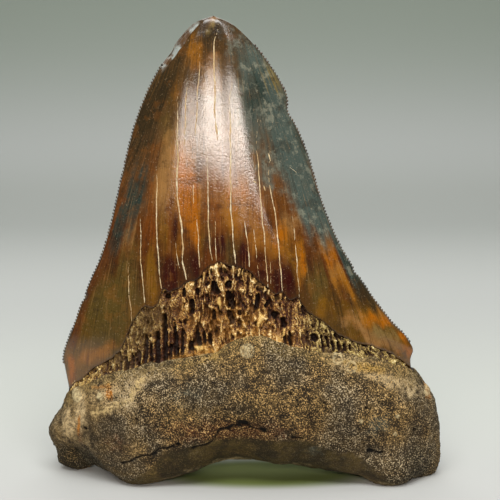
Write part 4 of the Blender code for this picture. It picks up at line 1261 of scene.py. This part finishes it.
# Colour by level: the dark pits are partly painted shade, the pale crests partly painted highlight
bright, dull = (spongy.levels(level, stops) for stops in (SPONGE_LEVELS, DULL_LEVELS))
spongy.colour = spongy.mix(bright, dull, said["dull"])
spongy.lay("#5f2c0e", (noise.patches, 0.47, 0.62), said["garnet"], 0.6)
spongy.lay("#b9822c", (noise.patches, 0.35, 0.55, 0, 0.5), said["gold"])
open_face = spongy.strength((said["level"], 0.25, 0.5), (said["dull"], 0, 1, 0.3, 0.45))
spongy.lay("#e2c78e", (noise.crumbs, 0.55, 0.66), open_face)
spongy.lay("#4b3616", (noise.patches, 0.35, 0.6, 0.65, 0.9), said["olive"])
spongy.lay("#1c0c05", (noise.crumbs, 0.44, 0.33), 0.55)
# Painted shade: the deep slots are darkened to near-black
spongy.lay("#180a04", (said["slot"], 0.3, 0.9, 0, 0.8))
spongy.lay("#9c702f", (noise.specks, 0.38, 0.6, 0, 0.7), said["shelf"])
spongy.lay("#d9b468", (noise.specks, 0.35, 0.6, 0.3, 0.8), said["knob"])
# Painted shade in the groove under the enamel's edge
spongy.lay("#0e0a06", said["groove"], 0.85)
spongy.done(spongy.strength((noise.specks, 0.3, 0.7, 0.5, 0.8)),
            [(fibres, 0.15), (noise.specks, 0.18), (noise.crumbs, 0.08)])
band.data.materials.append(spongy.material)

# %% [markdown]
# ## Sandy dentine of the root
# The root is a crust of pale and dark grains in olive-brown dentine, with no shine at all. The sand between
# the mesh's own grains is a third of a millimetre across. Stains lie below it, as they do in the enamel.

# %% Material of the root
# The root's umber is partly a stain and partly painted shade low on the root.
ROOT_STAIN_COLOURS = [("tan", "#927c55", 1.8), ("rust", "#4f2c12", 1.8), ("umber_and_shade", "#211c0a", 1.8),
                      ("cream", "#b29c74", 1.8), ("honey", "#a98640", 1.8), ("orange", "#a5681f", 1.8),
                      ("slate", "#4c5045", 1.8)]

sandy = Finish("sandy_dentine", "#2c2110", Roughness=0.85, IOR=1.5, Specular_IOR_Level=0.25)
said = sandy.stored(*ROOT_STAINS, "ledge", "worn", "grit", "vein", "pebble", "hollow")
noise = sandy.noises(sand=(0.33, 2, 0.62), crumbs=(0.7, 2, 0.6), coarse=(1.8, 4, 0.62), patches=(6, 4, 0.6),
                     regions=(14, 2, 0.5))
uneven = sandy.total(-0.5, (1, noise.coarse))
sandy.lay("#6c5733", (noise.patches, 0.36, 0.64))
sandy.lay("#3a3120", (noise.regions, 0.4, 0.62, 0, 0.5))
sandy.stain(ROOT_STAIN_COLOURS, said, uneven)
sandy.lay("#7c693a", (noise.coarse, 0.35, 0.6, 0.1, 0.5), said["ledge"])
# The worn underside is a darker olive brown: partly its own colour, partly painted shade.
sandy.lay("#473a18", (noise.patches, 0.4, 0.62, 0.1, 0.8), said["worn"])
sandy.lay("#2b2011", (noise.crumbs, 0.5, 0.4, 0, 0.5))

# %% Sand on the root, pale and dark, and what lies on it
grit = sandy.strength(sandy.total(0.42, (0.55, said["grit"])), (said["worn"], 0.2, 1, 1, 0.25),
                      (noise.patches, 0.36, 0.6, 0.75, 1.1))
sand = sandy.total(noise.sand, (0.3, uneven))
pale_grains = sandy.mix("#c09d64", "#b3a283", (noise.regions, 0.42, 0.58))
sandy.lay(pale_grains, (sand, 0.54, 0.64), grit)
sandy.lay("#080503", (sand, 0.48, 0.38), grit)
sandy.lay("#c4ab76", (noise.crumbs, 0.4, 0.62, 0.1, 0.75), said["vein"])
sandy.lay("#c8b88e", (noise.crumbs, 0.4, 0.6, 0.25, 0.8), said["pebble"])
# Painted shade in the cracks, holes and pits
sandy.lay("#0c0905", said["hollow"])
sandy.done(bumps=[(noise.coarse, 0.35), (noise.crumbs, 0.25), (sandy.strength(sand, grit), 0.2)])
root.data.materials.append(sandy.material)

# %% [markdown]
# ## Which body and node each piece belongs to
# The imported model has no joints, so everything rides on its one body. Each skin stands for the one node.

# %% Ride and replace
for piece, finish in ((crown, "enamel"), (serrations, "enamel"), (band, "neck_band"), (root, "root"),
                      (crack_fills, "crack_fill")):
    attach(piece, "root")
    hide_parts("tooth")

# %% [markdown]
# ## A pale table that curves up into a wall
# A flat floor and a wall would meet in a visible line. A sheet that sweeps from one to the other hides the
# corner, as in a small photo studio. Lengths are in metres here. The colour darkens slowly up the wall and
# in a band where the floor turns up, which is painted shade, and a dark olive patch under the tooth's arch
# is a painted shadow.

# %% The sweep
FLOOR_FRONT = -0.9
FLOOR_BACK = 0.42
SWEEP_RADIUS = 0.32
WALL_TOP = 1.3
HALF_WIDTH = 1.6
# (place along Y in metres, colour) of the card
# The card's darkening up the wall and in a band where it turns up is painted shade
CARD_TONES = [(-0.09, "#2e2e2b"), (-0.03, "#aeafae"), (0.07, "#b4b7b3"), (0.22, "#afb1af"), (0.5, "#969996"),
              (0.565, "#9b9e9c"), (0.7, "#7c847b")]
# Painted shadow: the card is dark olive where it lies under the tooth's arch
ARCH_SHADE = "#5c6a1e"
# The card lies this far below the feet, so the two surfaces never coincide
CARD_DROP = 0.00002

arc = [(FLOOR_BACK + SWEEP_RADIUS * math.sin(a), SWEEP_RADIUS * (1 - math.cos(a)))
       for a in np.linspace(0, math.pi / 2, 33)]
profile = [(FLOOR_FRONT, 0.0), *arc, (FLOOR_BACK + SWEEP_RADIUS, WALL_TOP)]
corners = [(side * HALF_WIDTH, y, z - CARD_DROP) for y, z in profile for side in (-1, 1)]
strips = [(2 * i, 2 * i + 1, 2 * i + 3, 2 * i + 2) for i in range(len(profile) - 1)]
sweep_mesh = bpy.data.meshes.new("studio_sweep")
sweep_mesh.from_pydata(corners, [], strips)
sweep_mesh.shade_smooth()
sweep = bpy.data.objects.new("studio_sweep", sweep_mesh)
bpy.context.scene.collection.objects.link(sweep)

card = Finish("matt_card", Roughness=0.9)
axes = put(card.tree, "ShaderNodeSeparateXYZ", [(0, card.place)]).outputs
card.colour = card.levels(axes["Y"], CARD_TONES)
across, deep = (card.total(-middle / half, (1 / half, axes[axis]))
                for axis, middle, half in (("X", 5 * MM, 34 * MM), ("Y", 3 * MM, 12 * MM)))
from_arch = card.total(card.strength(across, across), (1, card.strength(deep, deep)))
# Painted shadow under the tooth's arch
card.lay(ARCH_SHADE, (from_arch, 0.3, 1.1, 0.95, 0))
card.done()
sweep_mesh.materials.append(card.material)

# %% [markdown]
# ## Light and camera
# The crown's long glow is the reflection of two wide, low lamps in front of it, so they stand where a
# mirror at that height would show them. A large box high in front lights the whole tooth, one overhead and
# one behind fill the table and the lip side, and the air is a pale grey. The camera looks ten degrees down
# through a long lens.

# %% Lights
def soft_box(name, place, aim, size, watts, colour, shape):
    """A large soft lamp at a place, turned towards its aim."""
    data = bpy.data.lights.new(name, "AREA")
    data.shape = shape
    data.size, data.size_y = size
    data.energy = watts
    data.color = linear(colour)[:3]
    lamp = bpy.data.objects.new(name, data)
    lamp.location = place
    lamp.rotation_euler = (Vector(aim) - Vector(place)).to_track_quat("-Z", "Y").to_euler()
    bpy.context.scene.collection.objects.link(lamp)


TOOTH_MIDDLE = (0.0, 0.0, 0.06)
GLOW = (0.0, 0.0, 0.085)
soft_box("front_lamp", (-0.02, -0.53, 0.244), GLOW, (0.6, 0.045), 1.7, "#fff2e6", "ELLIPSE")
soft_box("front_glow_lamp", (0.02, -0.531, 0.28), GLOW, (0.26, 0.07), 0.35, "#fff6ec", "ELLIPSE")
soft_box("high_front_box", (0.0, -0.45, 0.85), TOOTH_MIDDLE, (0.9, 0.35), 10.0, "#fbfbf8", "RECTANGLE")
soft_box("overhead_box", (0.0, -0.05, 0.9), TOOTH_MIDDLE, (0.8, 0.4), 3.0, "#f8fafa", "RECTANGLE")
soft_box("back_box", (0.0, 0.6, 0.5), TOOTH_MIDDLE, (0.8, 0.4), 2.2, "#fbfbf8", "RECTANGLE")
world = bpy.data.worlds.new("pale_air")
world.use_nodes = True
air = world.node_tree.nodes["Background"].inputs
air["Color"].default_value = linear("#d5d9d2")
air["Strength"].default_value = 0.1
bpy.context.scene.world = world
bpy.context.scene.view_settings.view_transform = "Standard"

# %% Camera
EYE = Vector((0.001791, -0.296293, 0.113131))
AIM = Vector((0.001791, 0.0025, 0.060445))
lens_data = bpy.data.cameras.new("camera")
lens_data.lens = 85
lens_data.sensor_width = 36
lens_data.clip_start = 0.01
camera = bpy.data.objects.new("camera", lens_data)
camera.location = EYE
camera.rotation_euler = (AIM - EYE).to_track_quat("-Z", "Y").to_euler()
bpy.context.scene.collection.objects.link(camera)
bpy.context.scene.camera = camera
print("camera distance, mm:", round((AIM - EYE).length * 1000, 1))
